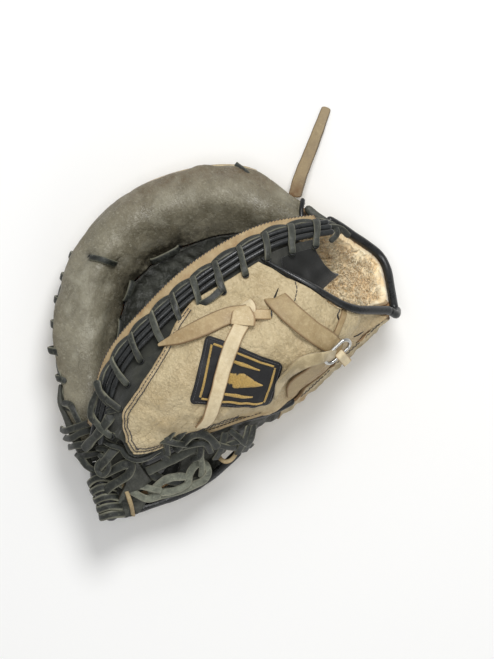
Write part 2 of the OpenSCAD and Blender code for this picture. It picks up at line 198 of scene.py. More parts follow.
def leather(name, base, dark, light, raw, grain=1.5, mottle=22, rough=(0.42, 0.68), bump=0.6,
            creases=0.5, specks=0.35, contrast=1.0, deep=0.0004, pitted=0.15, **values):
    """Worn leather, its colours in 0 to 255. The marks wear, stain, shade and edge make it lighter, browner and
    darker, and show its raw cut edge."""
    base, dark, light, raw = (srgb(*colour) for colour in (base, dark, light, raw))
    g = Graph(name)
    broad = g.noise(mottle, 5, 0.6)
    fine = g.noise(2.6, 6, 0.65, 0.4)
    pores = g.pores(grain)
    folds = g.noise(9, 3, 0.6, 1.4, g.stretched(1, 1.5, 1.2))
    fold_lines = g.range(g.math("ABSOLUTE", g.math("SUBTRACT", folds, 0.5)), 0.0, 0.055)
    clouds = g.range(broad, 0.5 - 0.18 / contrast, 0.5 + 0.2 / contrast)
    colour = g.mix(clouds, dark, base)
    colour = g.mix(g.math("MULTIPLY", g.range(fine, 0.5, 0.72), specks), colour, light)
    colour = g.mix(g.math("MULTIPLY", g.math("SUBTRACT", 1.0, fold_lines), 0.25 * creases), colour, dark)
    colour = g.mix(g.math("MULTIPLY", g.range(pores, 0.3, 0.62), pitted), colour, times(dark, 0.6))
    uneven = g.range(g.noise(6, 5, 0.7), 0.3, 0.7, 0.45, 1.35)
    brown = (dark[0] * 0.75, dark[1] * 0.55, dark[2] * 0.4, 1)
    for mark, shown in (("wear", light), ("stain", brown), ("shade", times(dark, 0.25))):
        colour = g.mix(g.math("MULTIPLY", g.mark(mark), uneven, clamp=True), colour, shown)
    colour = g.mix(g.mark("edge"), colour, g.mix(clouds, raw, times(raw, 0.7)))
    roughness = g.range(g.math("ADD", broad, g.math("MULTIPLY", fine, 0.5)), 0.55, 0.95, rough[0], rough[1])
    heights = [(pores, -0.55), (fine, 0.5), (fold_lines, 0.35 * creases), (g.noise(0.7, 3), 0.25)]
    return g.finish(colour, roughness, heights, bump, deep, **values)


def suede(name, base, dark):
    """The flesh side of leather, a short nap."""
    g = Graph(name)
    nap = g.noise(1.1, 6, 0.75)
    clouds = g.noise(14, 4, 0.6, 0.5)
    colour = g.mix(g.range(clouds, 0.35, 0.65), dark, base)
    colour = g.mix(g.math("MULTIPLY", g.range(nap, 0.5, 0.75), 0.5), colour, times(base, 1.5))
    colour = g.mix(g.math("MULTIPLY", g.mark("shade"), 0.9, clamp=True), colour, times(dark, 0.3))
    return g.finish(colour, 0.92, [(nap, 1.0), (g.noise(4, 4), 0.5)], 0.7, Sheen_Weight=0.35, Sheen_Roughness=0.5)


def fibres(name, base, dark, size, sheen=0.4):
    """Felt or wool."""
    g = Graph(name)
    hairs = g.noise(size, 7, 0.8, 2.0)
    tufts = g.noise(size * 6, 3, 0.6)
    colour = g.mix(g.range(tufts, 0.35, 0.65), dark, base)
    colour = g.mix(g.math("MULTIPLY", g.range(hairs, 0.45, 0.7), 0.35), colour, times(base, 1.25))
    colour = g.mix(g.math("MULTIPLY", g.mark("shade"), 0.85, clamp=True), colour, times(dark, 0.35))
    return g.finish(colour, 0.95, [(hairs, 1.0), (tufts, 1.5)], 0.8, Sheen_Weight=sheen, Sheen_Roughness=0.4)


def thread(name, base, dark, shine=0.5):
    """Twisted sewing or embroidery thread."""
    g = Graph(name)
    strands = g.noise(0.8, 3, 0.6, 0.5)
    colour = g.mix(g.range(strands, 0.35, 0.65), dark, base)
    return g.finish(colour, shine, [(strands, 1.0)], 0.5, 0.0002, Sheen_Weight=0.3)


def steel(name):
    g = Graph(name)
    scratches = g.noise(5, 8, 0.75, 1.0, g.stretched(1, 0.2, 1))
    spots = g.noise(1.6, 5, 0.7)
    colour = g.mix(g.range(spots, 0.56, 0.7), srgb(205, 205, 202), srgb(120, 116, 108))
    roughness = g.range(scratches, 0.35, 0.65, 0.16, 0.38)
    return g.finish(colour, roughness, [(scratches, 0.6), (spots, 0.4)], 0.15, 0.0001, Metallic=1.0)


TAN = leather("tan_leather", (205, 188, 150), (182, 162, 123), (222, 208, 174), (150, 120, 84),
              grain=2.1, mottle=34, rough=(0.36, 0.56), bump=1.0, creases=0.5, specks=0.4, contrast=0.8, deep=0.0012,
              pitted=0.14)
STRAP = leather("strap_leather", (184, 165, 126), (156, 136, 98), (206, 190, 154), (140, 114, 80),
                grain=1.3, mottle=16, rough=(0.5, 0.75), bump=0.6, creases=0.5, specks=0.5)
PALE_STRAP = leather("pale_strap", (216, 198, 160), (188, 168, 128), (234, 220, 188), (152, 122, 86),
                     grain=1.3, mottle=16, rough=(0.5, 0.75), bump=0.6, creases=0.5, specks=0.5)
LIP = leather("rim_lip_leather", (190, 170, 130), (162, 140, 102), (212, 194, 156), (132, 106, 74),
              grain=1.3, mottle=18, rough=(0.45, 0.68), bump=0.7, creases=0.6, specks=0.5)
HEEL_LEATHER = leather("heel_lace", (158, 140, 106), (122, 104, 76), (184, 168, 134), (104, 88, 64),
                       grain=1.3, mottle=13, rough=(0.5, 0.75), bump=0.7, creases=0.6, specks=0.6)
OLIVE = leather("crescent_leather", (140, 134, 114), (106, 100, 82), (172, 168, 150), (60, 57, 47),
                grain=1.0, mottle=30, rough=(0.26, 0.46), bump=0.8, creases=1.0, specks=0.55, contrast=0.9,
                deep=0.0006)
CHARCOAL = leather("dark_leather", (68, 69, 61), (48, 49, 43), (98, 100, 90), (66, 62, 52),
                   grain=1.8, mottle=24, rough=(0.4, 0.62), bump=0.9, creases=0.8, specks=0.4, deep=0.0007)
BLACK = leather("binding", (30, 32, 33), (18, 19, 20), (70, 74, 74), (48, 46, 42),
                grain=1.1, mottle=12, rough=(0.24, 0.42), bump=0.35, creases=0.3, specks=0.25)
LACE = leather("lace", (42, 45, 40), (24, 26, 23), (88, 91, 80), (132, 131, 113),
               grain=0.9, mottle=7, rough=(0.42, 0.66), bump=0.7, creases=0.5, specks=0.7)
GREY_LACE = leather("lace_grey", (100, 103, 90), (60, 63, 54), (150, 152, 136), (170, 168, 148),
                    grain=0.9, mottle=6, rough=(0.6, 0.85), bump=0.9, creases=0.6, specks=0.9)
LINING = leather("lining_leather", (164, 106, 64), (126, 76, 42), (190, 136, 90), (150, 104, 66),
                 grain=1.0, mottle=20, rough=(0.5, 0.72), bump=0.4, creases=0.6, specks=0.3)
TAN_FLESH = suede("tan_flesh", srgb(184, 150, 108), srgb(156, 120, 82))
STRAP_FLESH = suede("strap_flesh", srgb(188, 172, 136), srgb(152, 136, 102))
DARK_FLESH = suede("dark_flesh", srgb(62, 62, 56), srgb(40, 41, 38))
GUSSET = suede("black_suede", srgb(50, 51, 43), srgb(32, 34, 29))
FLAP = suede("flap_suede", srgb(26, 27, 24), srgb(17, 18, 16))
FELT = fibres("felt", srgb(206, 192, 164), srgb(170, 152, 122), 1.6)
FLEECE = fibres("fleece", srgb(255, 240, 206), srgb(240, 212, 166), 1.8, 0.6)
DARK_THREAD = thread("dark_thread", srgb(40, 34, 44), srgb(20, 18, 24))
GOLD_THREAD = thread("gold_thread", srgb(204, 172, 96), srgb(160, 128, 62), 0.38)
BLACK_THREAD = thread("black_thread", srgb(70, 70, 74), srgb(38, 38, 42))
STEEL = steel("ring_steel")
PATCH = leather("patch", (26, 26, 28), (14, 14, 16), (52, 52, 54), (24, 24, 26),
                grain=0.7, mottle=10, rough=(0.55, 0.75), bump=0.8, creases=0.1, specks=0.3)


# ---------------------------------------------------------------- curves and nets


def mix(a, b, t):
    return a + (b - a) * t


def smooth(x, low, high):
    t = np.clip((np.asarray(x, float) - low) / (high - low), 0, 1)
    return t * t * (3 - 2 * t)


def bell(x, centre, width):
    return np.exp(-(((np.asarray(x, float) - centre) / width) ** 2))


def catmull(a, b, c, d, f):
    return 0.5 * (2 * b + (c - a) * f + (2 * a - 5 * b + 4 * c - d) * f**2 + (3 * b - a - 3 * c + d) * f**3)


def spline(points, t):
    """A smooth curve through the points, at each t from 0 to 1."""
    points = np.asarray(points, float)
    last = len(points) - 1
    s = np.clip(np.asarray(t, float), 0, 1) * last
    i = np.minimum(s.astype(int), last - 1)
    f = s - i
    before, after = np.maximum(i - 1, 0), np.minimum(i + 2, last)
    if points.ndim > 1:
        f, first, final = f[..., None], (i > 0)[..., None], (i < last - 1)[..., None]
    else:
        first, final = i > 0, i < last - 1
    b, c = points[i], points[i + 1]
    a = np.where(first, points[before], 2 * b - c)
    d = np.where(final, points[after], 2 * c - b)
    return catmull(a, b, c, d, f)


def net_point(net, u, v):
    """A point of the smooth surface through a net, u lines across and v of the way along it, never below the table."""
    u, v = np.broadcast_arrays(np.asarray(u, float), np.asarray(v, float))
    shape = u.shape
    rows = np.stack([spline(line, v.ravel()) for line in net])
    last = len(net) - 1
    s = np.clip(u.ravel(), 0, last)
    i = np.minimum(s.astype(int), last - 1)
    f = (s - i)[:, None]
    n = np.arange(len(s))
    b, c = rows[i, n], rows[i + 1, n]
    a = np.where((i > 0)[:, None], rows[np.maximum(i - 1, 0), n], 2 * b - c)
    d = np.where((i < last - 1)[:, None], rows[np.minimum(i + 2, last), n], 2 * c - b)
    p = catmull(a, b, c, d, f)
    p[:, 2] = np.maximum(p[:, 2], 0)
    return p.reshape(*shape, 3)


def unit(vectors):
    vectors = np.asarray(vectors, float)
    return vectors / np.maximum(np.linalg.norm(vectors, axis=-1, keepdims=True), 1e-9)


def net_normal(net, u, v):
    """The direction into the mitt."""
    e, last = 0.03, len(net) - 1
    u, v = np.asarray(u, float), np.asarray(v, float)
    across = net_point(net, np.minimum(u + 3 * e, last), v) - net_point(net, np.maximum(u - 3 * e, 0), v)
    along = net_point(net, u, np.minimum(v + e, 1)) - net_point(net, u, np.maximum(v - e, 0))
    return unit(np.cross(across, along))


def on(net, u, v, lift=0.0):
    """The point at u and v, lifted off the outside of the net."""
    return net_point(net, u, v) - net_normal(net, u, v) * np.asarray(lift, float)[..., None]


def ripple(points, size, seed, waves=16):
    """A smooth random field over points with features of that size. Its spread is about 1."""
    draw = np.random.default_rng(seed)
    ways = unit(draw.normal(size=(waves, 3))) * (2 * math.pi / (size * draw.uniform(0.7, 1.6, waves)))[:, None]
    starts = draw.uniform(0, 2 * math.pi, waves)
    return np.sin(np.asarray(points) @ ways.T + starts).sum(-1) * math.sqrt(2 / waves)


def creased(points, size, seed, width=0.22):
    """A network of thin lines, 1 in a line and 0 between them."""
    return np.exp(-((ripple(points, size, seed) / width) ** 2))


def along(values, t):
    """A number, or a list's smooth line, at each t from 0 to 1."""
    return spline(values, t) if np.ndim(values) else np.full(np.shape(t), float(values))


def points_of(*places):
    return np.array(places, float)


finger_rim = points_of((18, -133, 46), (76, -104, 42), (109, -37, 37), (105, 37, 37), (57, 103, 41), (-36, 150, 50))
crescent_side = points_of((22, -136, 53), (80, -109, 54), (116, -38, 52), (113, 38, 52),
                          (62, 109, 54), (-36, 155, 58))
crescent_top = points_of((10, -125, 61), (56, -88, 70), (88, -34, 68), (86, 30, 68), (44, 84, 65), (-38, 134, 62))
crescent_foot = points_of((-8, -119, 57), (32, -72, 49), (50, -30, 43), (52, 26, 41), (15, 74, 44), (-44, 114, 50))
pocket_floor = points_of((-28, -122, 57), (2, -64, 42), (6, -22, 35), (4, 24, 35), (-22, 62, 39), (-60, 102, 48))
palm_fold = points_of((-44, -124, 66), (-50, -64, 68), (-56, -18, 66), (-66, 24, 66), (-84, 72, 64), (-94, 116, 64))
thumb_palm_mid = points_of((-34, -130, 80), (-22, -76, 102), (-20, -24, 109), (-24, 24, 110), (-40, 74, 102),
                           (-68, 116, 86))
thumb_rim = points_of((-15, -146, 81), (8, -95, 104), (15, -35, 118), (13, 22, 121), (0, 83, 112), (-38, 134, 92))
thumb_back_rim = points_of((12, -66, 112), (15, -30, 118), (13, 22, 121), (0, 83, 112), (-36, 126, 96))
thumb_top = points_of((-42, -90, 119), (-36, -46, 137), (-34, 6, 142), (-38, 62, 134), (-50, 118, 110))
thumb_outer = points_of((-80, -107, 105), (-88, -62, 121), (-86, -4, 126), (-78, 52, 122), (-68, 119, 103))
thumb_spine = points_of((-103, -133, 70), (-108, -76, 80), (-112, -16, 84), (-92, 42, 90), (-79, 110, 93))
finger_spine = points_of((-103, -140, 48), (-109, -86, 52), (-116, -30, 46), (-114, 22, 36),
                         (-112, 86, 34), (-104, 152, 44))
back_inner = points_of((-64, -159, 22), (-54, -90, 2), (-56, -26, 0), (-60, 26, 0), (-66, 76, 4), (-88, 138, 20))
back_middle = points_of((-26, -150, 34), (26, -92, 4), (44, -30, 0), (44, 30, 0), (14, 80, 3), (-52, 130, 18))
back_outer = points_of((2, -139, 44), (68, -98, 19), (95, -35, 10), (92, 35, 10), (48, 94, 14), (-38, 142, 27))

PALM = [finger_rim, crescent_side, crescent_top, crescent_foot, pocket_floor, palm_fold, thumb_palm_mid, thumb_rim]
FINGER_BACK = [finger_spine, back_inner, back_middle, back_outer, finger_rim]
THUMB_BACK = [thumb_back_rim, thumb_top, thumb_outer, thumb_spine]

LEATHER_T = 3.0
LAYER_GAP = 1.0
FELT_T = 8.0
LINING_T = 1.4
BINDING_R = 2.6


# ---------------------------------------------------------------- meshes


class Build:
    """Collects points in millimetres with quads and marks, and makes one mesh of them."""

    def __init__(self):
        self.points, self.quads, self.slots, self.marks, self.count = [], [], [], [], 0

    def add(self, points, quads, slot=0, **marks):
        points = np.asarray(points, float).reshape(-1, 3)
        quads = np.asarray(quads, int)
        first, *others = np.moveaxis(points[quads] - points.mean(0), 1, 0)
        volume = sum((first * np.cross(a - first, b - first)).sum() for a, b in zip(others, others[1:]))
        if volume < 0:
            quads = quads[:, ::-1]
        self.points.append(points)
        self.quads.append(quads + self.count)
        self.slots.append(np.broadcast_to(np.asarray(slot, int), (len(quads),)))
        self.marks.append((len(points), {k: np.broadcast_to(np.ravel(v), (len(points),)) for k, v in marks.items()}))
        self.count += len(points)

    def make(self, name, *materials):
        points = np.concatenate(self.points) * MM
        quads = np.concatenate(self.quads)
        mesh = bpy.data.meshes.new(name)
        mesh.vertices.add(len(points))
        mesh.vertices.foreach_set("co", points.astype(np.float32).ravel())
        mesh.loops.add(quads.size)
        mesh.loops.foreach_set("vertex_index", quads.astype(np.int32).ravel())
        mesh.polygons.add(len(quads))
        mesh.polygons.foreach_set("loop_start", np.arange(0, quads.size, 4, dtype=np.int32))
        mesh.polygons.foreach_set("material_index", np.concatenate(self.slots).astype(np.int32))
        mesh.update(calc_edges=True)
        mesh.polygons.foreach_set("use_smooth", np.ones(len(quads), bool))
        for mark in sorted({k for _, marks in self.marks for k in marks}):
            values = np.concatenate([np.asarray(m.get(mark, 0.0) * np.ones(n)) for n, m in self.marks])
            mesh.attributes.new(mark, "FLOAT", "POINT").data.foreach_set("value", values.astype(np.float32))
        for material in materials:
            mesh.materials.append(material)
        piece = bpy.data.objects.new(name, mesh)
        bpy.context.scene.collection.objects.link(piece)
        return piece


def grid_quads(rows, cols, start=0):
    a = start + (np.arange(rows - 1)[:, None] * cols + np.arange(cols - 1)).ravel()
    return np.stack([a, a + 1, a + cols + 1, a + cols], 1)


def strip_quads(first, second):
    """Quads between two rows of point numbers."""
    return np.stack([first[:-1], first[1:], second[1:], second[:-1]], 1)


def shell(build, outer, inner, inner_slot=0, **marks):
    """A closed sheet between two grids of points."""
    rows, cols = outer.shape[:2]
    size = rows * cols
    at = np.arange(size).reshape(rows, cols)
    skin = [grid_quads(rows, cols), grid_quads(rows, cols, size)[:, ::-1]]
    rim = [strip_quads(at[0][::-1], at[0][::-1] + size), strip_quads(at[-1], at[-1] + size),
           strip_quads(at[:, 0], at[:, 0] + size), strip_quads(at[:, -1][::-1], at[:, -1][::-1] + size)]
    slots = np.repeat([0, inner_slot, 0], [len(skin[0]), len(skin[1]), sum(map(len, rim))])
    border = np.zeros((rows, cols))
    border[[0, -1], :] = 1
    border[:, [0, -1]] = 1
    both = {k: np.concatenate([np.broadcast_to(v, (rows, cols)).ravel()] * 2) for k, v in marks.items()}
    both["edge"] = np.concatenate([border.ravel()] * 2)
    build.add(np.concatenate([outer.reshape(-1, 3), inner.reshape(-1, 3)]), np.concatenate(skin + rim), slots, **both)


def edge_steps(count, inset):
    """0 to 1 in even steps, with one more narrow step at each end, where a cut edge is rounded."""
    return np.sort(np.concatenate([np.linspace(0, 1, count + 1), [inset, 1 - inset]]))


def sheet(net, u_from, u_to, v_from, v_to, depth, thick, rows, cols, lift=None, marks=None, build=None, inner_slot=0,
          ends=0.35):
    """A leather sheet on a net, from that depth and that thick, with rounded cut edges.
    lift(u, v, points) moves it outward, and marks(u, v, points) gives its marks."""
    build = build or Build()
    s, r = edge_steps(rows, 0.12 / rows), edge_steps(cols, 0.12 / cols)
    u = mix(along(u_from, s)[:, None], along(u_to, s)[:, None], r)
    v = mix(along(v_from, r), along(v_to, r), s[:, None])
    base, inward = net_point(net, u, v), net_normal(net, u, v)
    raised = lift(u, v, base) if lift else np.zeros(u.shape)
    half = np.full(u.shape, thick / 2)
    half[[0, -1], :] *= ends
    half[:, [0, -1]] *= ends
    middle = depth + thick / 2 - raised
    outer = base + inward * (middle - half)[..., None]
    inner = base + inward * (middle + half)[..., None]
    outer[..., 2], inner[..., 2] = np.maximum(outer[..., 2], 0.05), np.maximum(inner[..., 2], 0.1)
    shell(build, outer, inner, inner_slot, **(marks(u, v, base) if marks else {}))
    return build


def section(sides, power):
    """Points round a rounded section, of half width and half height 1."""
    q = 2 * math.pi * (np.arange(sides) + 0.5) / sides
    c, s = np.cos(q), np.sin(q)
    return np.sign(c) * np.abs(c) ** (2 / power), np.sign(s) * np.abs(s) ** (2 / power)


# The rings beyond each end of a sweep: how far out each is, in half thicknesses, and how large.
FLAT_END = np.array([(0.12, 0.93)])
ROUND_END = np.array([(0.5, 0.87), (0.85, 0.55), (0.98, 0.22)])


def sweep(build, path, half_w, half_h, up=(0, 0, 1), rings=24, sides=10, power=2.0, cut=(False, False), closed=False,
          waver=0.0, seed=1, slot=0, pale=(0.8, 0.96), **marks):
    """A lace, strap, roll or cord along a smooth line. half_w, half_h and the marks are numbers or lists along it.
    cut says which ends are cut flat; the others are rounded. waver is how far its width and twist wander, and
    pale says where across it the pale cut sides begin."""
    path = np.asarray(path, float)
    if closed:
        path = np.concatenate([path, path[:1]])
    t = np.linspace(0, 1, rings + 1)
    line = spline(path, t)
    if closed:
        wide = np.concatenate([path[-3:-1], path, path[1:3]])
        line = spline(wide, (2 + t * (len(path) - 1)) / (len(wide) - 1))
    ups = np.broadcast_to(np.asarray(up, float), (len(t), 3)) if np.ndim(up) == 1 else spline(up, t)
    way = np.gradient(line, axis=0)
    if closed:
        way[0] = way[-1] = line[1] - line[-2]
    way = unit(way)
    side = unit(np.cross(way, ups))
    top = np.cross(side, way)
    half = [along(half_w, t), along(half_h, t)]
    if waver:
        turn = waver * ripple(line, 28, seed)
        c, s = np.cos(turn)[:, None], np.sin(turn)[:, None]
        side, top = side * c + top * s, top * c - side * s
        half[0] = half[0] * (1 + 0.35 * waver * ripple(line, 17, seed + 1))
    x, y = section(sides, power)
    scale = np.ones(len(t))
    if not closed:
        first, last = (FLAT_END if flat else ROUND_END for flat in cut)
        ring = np.repeat(np.arange(len(t)), [1 + len(first), *[1] * (len(t) - 2), 1 + len(last)])
        line, way, side, top, t, *half = (rows[ring] for rows in (line, way, side, top, t, *half))
        ahead, scale = np.concatenate([first[::-1] * (-1, 1), [(0, 1)] * len(scale), last]).T
        line = line + way * (ahead * np.minimum(half[0], half[1] * 1.6))[:, None]
    rings = len(line)
    w, h = (half[0] * scale)[:, None], (half[1] * scale)[:, None]
    points = line[:, None] + side[:, None] * (w * x)[..., None] + top[:, None] * (h * y)[..., None]
    if closed:
        points, rings = points[:-1], rings - 1
    starts = np.arange(rings if closed else rings - 1)[:, None] * sides
    first, following = (starts + np.arange(sides)).ravel(), (starts + (np.arange(sides) + 1) % sides).ravel()
    total = rings * sides
    quads = [np.stack([first, following, (following + sides) % total, (first + sides) % total], 1)]
    if not closed:
        j = np.arange(sides // 2 - 1)
        cap = np.stack([j, j + 1, sides - 2 - j, sides - 1 - j], 1)
        quads += [cap[:, ::-1], cap + total - sides]
    edge = np.broadcast_to(smooth(np.abs(x), *pale), (rings, sides)).copy()
    edge[[end for end, flat in zip((0, -1), cut) if flat]] = 1
    spread = {k: np.repeat(along(m, t[:rings]), sides) for k, m in marks.items()}
    spread.setdefault("edge", edge.ravel())
    build.add(points, np.concatenate(quads), slot, **spread)
    return line


def lace(build, path, up=(0, 0, 1), width=6.5, thick=2.2, rings=28, **more):
    """A flat lace with soft corners and pale cut sides."""
    more.setdefault("waver", 0.12)
    more.setdefault("pale", (0.75, 0.97))
    return sweep(build, path, width / 2, thick / 2, up, rings, 12, 3.2, **more)


def lace_all(build, laces, up, thick, rings, seed, waver=0.2, **more):
    """Laces that are each given as a width and a route."""
    for n, (width, route) in enumerate(laces):
        lace(build, route, up, width, thick, rings, seed=seed + n, waver=waver, **more)


def distances(points):
    """How far along a line each of its points lies."""
    return np.concatenate([[0], np.cumsum(np.linalg.norm(np.diff(points, axis=0), axis=1))])


def at_distances(rows, far, wanted):
    """Rows that belong to the distances far, read off at the wanted distances."""
    return np.stack([np.interp(wanted, far, column) for column in np.transpose(rows)], 1)


def along_line(points, pitch):
    """Places evenly spaced along a line: their points, directions and distances along it."""
    far = distances(points)
    count = max(2, int(far[-1] / pitch))
    wanted = (np.arange(count) + 0.5) * far[-1] / count
    ways = unit(at_distances(points, far, wanted + 0.3) - at_distances(points, far, wanted - 0.3))
    return at_distances(points, far, wanted), ways, wanted


def stitches(build, points, outward, pitch=4.0, length=3.0, radius=0.42, slant=0.0):
    """Sewn stitches along a line. Each is a short thread whose ends go into the leather."""
    places, ways, wanted = along_line(points, pitch)
    outs = unit(at_distances(np.broadcast_to(outward, np.shape(points)), distances(points), wanted))
    for place, way, out in zip(places, ways, outs):
        aside = np.cross(out, way) * slant
        steps = [(-0.55, -0.5), (-0.42, 0.15), (0, 0.34), (0.42, 0.15), (0.55, -0.5)]
        path = [place + (way + aside) * length * a + out * b * radius / 0.42 for a, b in steps]
        sweep(build, path, radius, radius, out, 5, 6)


def attach(piece, slot, *nodes, body=None):
    """The piece stands for its nodes and rides where it lies: on the finger side or on the thumb side, and on no body
    where it spans the fold between them. slot is not used. body names the body it is fixed to."""
    if nodes:
        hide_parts(*nodes)
    co = np.zeros(len(piece.data.vertices) * 3, np.float32)
    piece.data.vertices.foreach_get("co", co)
    height = co.reshape(-1, 3) @ np.array(FOLD_WAY)
    if body:
        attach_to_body(piece, body)
    elif height.max() <= FOLD_LOW:
        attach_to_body(piece, "finger_side")
    elif height.min() >= FOLD_HIGH:
        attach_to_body(piece, "thumb_side")
    else:
        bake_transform(piece)
    return piece


# Leather bends between the two sides where FOLD_WAY's height is from FOLD_LOW to FOLD_HIGH, in metres.
FOLD_WAY = (0.25, 0, 1)
FOLD_LOW, FOLD_HIGH = 0.060, 0.100


def inset(net, path, distance):
    """A path of (u, v) on a net, moved that many millimetres to its left as seen from outside."""
    path = np.asarray(path, float)
    u, v = path[:, 0], path[:, 1]
    e = 0.004
    per_u = (net_point(net, u + e, v) - net_point(net, u - e, v)) / (2 * e)
    per_v = (net_point(net, u, v + e) - net_point(net, u, v - e)) / (2 * e)
    ways = unit(np.gradient(net_point(net, u, v), axis=0))
    aside = np.cross(-net_normal(net, u, v), ways) * distance
    moved = []
    for place, a, b, step in zip(path, per_u, per_v, aside):
        du, dv = np.linalg.lstsq(np.stack([a, b], 1), step, rcond=None)[0]
        moved.append(place + (du, dv))
    return np.array(moved)


def path_on(net, path, lift=0.0, count=60):
    """Points of a smooth (u, v) path on a net, and the way out of the leather at each."""
    path = spline(path, np.linspace(0, 1, count))
    points = on(net, path[:, 0], path[:, 1], lift)
    points[:, 2] = np.maximum(points[:, 2], 0.9)
    return points, -net_normal(net, path[:, 0], path[:, 1])


def sewn(build, net, path, lift=0.4, count=60, **more):
    points, outs = path_on(net, path, lift, count)
    stitches(build, points, outs, **more)


def hole(build, place, out, radius):
    """A dark cup of painted shade in the mouth of a punched hole."""
    q = np.linspace(0, 2 * math.pi, 12, endpoint=False)
    out = unit(out)
    a = unit(np.cross(out, (0.3, 0.5, 0.8)))
    b = np.cross(out, a)
    rings = [place + out * h + (a * np.cos(q)[:, None] + b * np.sin(q)[:, None]) * r
             for r, h in ((radius * 1.3, -0.8), (radius * 1.25, 0.15), (radius, 0.3), (radius * 0.8, -0.5))]
    points = np.concatenate(rings)
    starts = np.arange(3)[:, None] * 12
    first, after = (starts + np.arange(12)).ravel(), (starts + (np.arange(12) + 1) % 12).ravel()
    j = np.arange(5)
    cap = np.stack([j, j + 1, 10 - j, 11 - j], 1)
    build.add(points, np.concatenate([np.stack([first, after, after + 12, first + 12], 1), cap[:, ::-1], cap + 36]),
              shade=np.repeat([0.3, 0.2, 0.7, 1.0], 12), edge=0)


# ---------------------------------------------------------------- the heel lace's free end

HEEL_TAIL_ROUTE = [(30, -134, 30), (42, -150, 20), (58, -176, 8), (76, -204, 3)]
HEEL_TAIL_W = 12


def heel_tail():
    build = Build()
    width = [x * HEEL_TAIL_W / 2 for x in (1.0, 1.0, 0.94, 0.86, 0.72)]
    line = sweep(build, HEEL_TAIL_ROUTE, width, 1.3, (0.15, 0.1, 1), 60, 16, 5, waver=0.08, seed=3,
                 wear=[0.1, 0.3, 0.2, 0.6], stain=[0.8, 0.3, 0.25, 0.1, 0.35])
    piece = build.make("heel_tail_thong", HEEL_LEATHER)
    attach(piece, "strap_leather", "heel_tail")


# ---------------------------------------------------------------- finger side

# Lines across the finger back where the stalls are sewn apart, and the ties that pull the crescent down,
# each from one (u, v) to another.
STALL_SEAMS = (1.28, 1.645, 2.01)
TIES = [((1.6, 0.635), (2.36, 0.605)), ((2.96, 0.43), (2.92, 0.52)), ((2.93, 0.605), (2.98, 0.665)),
        ((2.99, 0.72), (3.02, 0.79))]


def finger_shell():
    def lift(u, v, p):
        seams = sum(bell(u, s, 0.035) for s in STALL_SEAMS) * smooth(v, 0.36, 0.42) * (1 - smooth(v, 0.84, 0.9))
        welt = bell(u, 2.62, 0.03) * 1.3
        folds = creased(p, 36, 3) * smooth(u, 2.3, 3)
        return 0.7 * ripple(p, 46, 1) + 0.35 * ripple(p, 17, 2) - 1.3 * seams + welt - 0.5 * folds

    def marks(u, v, p):
        low = 1 - smooth(p[..., 2], 0, 16)
        return {"stain": 0.5 * low * smooth(ripple(p, 30, 4), -0.5, 1.5) + 0.5 * smooth(u, 3.55, 3.8),
                "wear": 0.5 * smooth(ripple(p, 22, 5), 0.2, 1.6) * (0.4 + low),
                "shade": 0.25 * bell(u, 2.55, 0.05) + 0.2 * bell(u, 2.69, 0.05)}

    build = sheet(FINGER_BACK, 0, 3.86, 0, 1, 0, LEATHER_T, 190, 150, lift, marks, inner_slot=1)
    attach(build.make("finger_back_shell", TAN, TAN_FLESH), "tan_leather", "finger_back")

    sewing = Build()
    for s in STALL_SEAMS:
        for side in (-0.05, 0.05):
            sewn(sewing, FINGER_BACK, [(s + side, 0.4), (s + side, 0.6), (s + side, 0.86)], 0.3)
    for s, v0, v1 in ((2.56, 0.03, 0.97), (2.69, 0.03, 0.97), (3.6, 0.02, 0.98)):
        sewn(sewing, FINGER_BACK, [(s, mix(v0, v1, t)) for t in (0, 0.25, 0.5, 0.75, 1)], 0.4, 140)
    attach(sewing.make("finger_back_stitching", DARK_THREAD), "lace")


def linings():
    def lift(u, v, p):
        return 0.3 * ripple(p, 20, 11)

    def marks(u, v, p):
        return {"stain": 0.7 * smooth(ripple(p, 28, 12), -0.2, 1.5),
                "shade": 0.35 * smooth(v, 0.05, 0.5) + 0.65 * smooth(v, 0.5, 0.72)}

    base = LEATHER_T + LAYER_GAP
    build = sheet(FINGER_BACK, 0.2, 2.8, 0.045, 0.8, base, LINING_T, 70, 60, lift, marks)
    attach(build.make("finger_stall_lining", LINING), "lining_leather", "finger_lining")
    palm_depth = LEATHER_T + 2 * LAYER_GAP + FELT_T
    build = sheet(PALM, 3.2, [4.4, 4.6, 4.6, 4.6, 4.6], 0.07, 0.76, palm_depth, LINING_T, 70, 30, lift, marks)
    attach(build.make("palm_stall_lining", LINING), "lining_leather", "palm_lining")
    build = sheet(THUMB_BACK, 0.6, 2.4, 0.06, 0.8, base + 0.4, LINING_T, 60, 44, thumb_lift, marks)
    attach(build.make("thumb_stall_lining", LINING), "lining_leather", "thumb_lining")

    walls = Build()
    for n in range(3):
        v = mix(0.42, 0.74 - 0.02 * n, np.linspace(0, 1, 26))
        low = on(FINGER_BACK, 1.28 + 0.365 * n, v, -(base + LINING_T + LAYER_GAP))
        high = on(PALM, 4.52 - 0.7 * n, v, -(palm_depth + LINING_T + LAYER_GAP))
        t = np.linspace(0.05, 0.95, 10)[:, None]
        grid = mix(low[:, None], high[:, None], t)
        aside = (0.7 + 0 * grid[..., :1]) * (1, 0.4, 0) + 0.5 * ripple(grid, 12, 13 + n)[..., None] * (1, 0.4, 0)
        wall = 0.55 * np.array((1, 0.4, 0))
        shell(walls, grid + aside - wall, grid + aside + wall, shade=0.35 + 0.65 * smooth(v, 0.5, 0.72)[:, None])
    attach(walls.make("stall_walls", LINING), "lining_leather", "stall_dividers")


def off_line(p, a, b):
    """From the nearest point of the line between a and b to each point p."""
    share = np.clip(((p - a) @ (b - a)) / ((b - a) @ (b - a)), 0, 1)
    return p - (a + share[..., None] * (b - a))


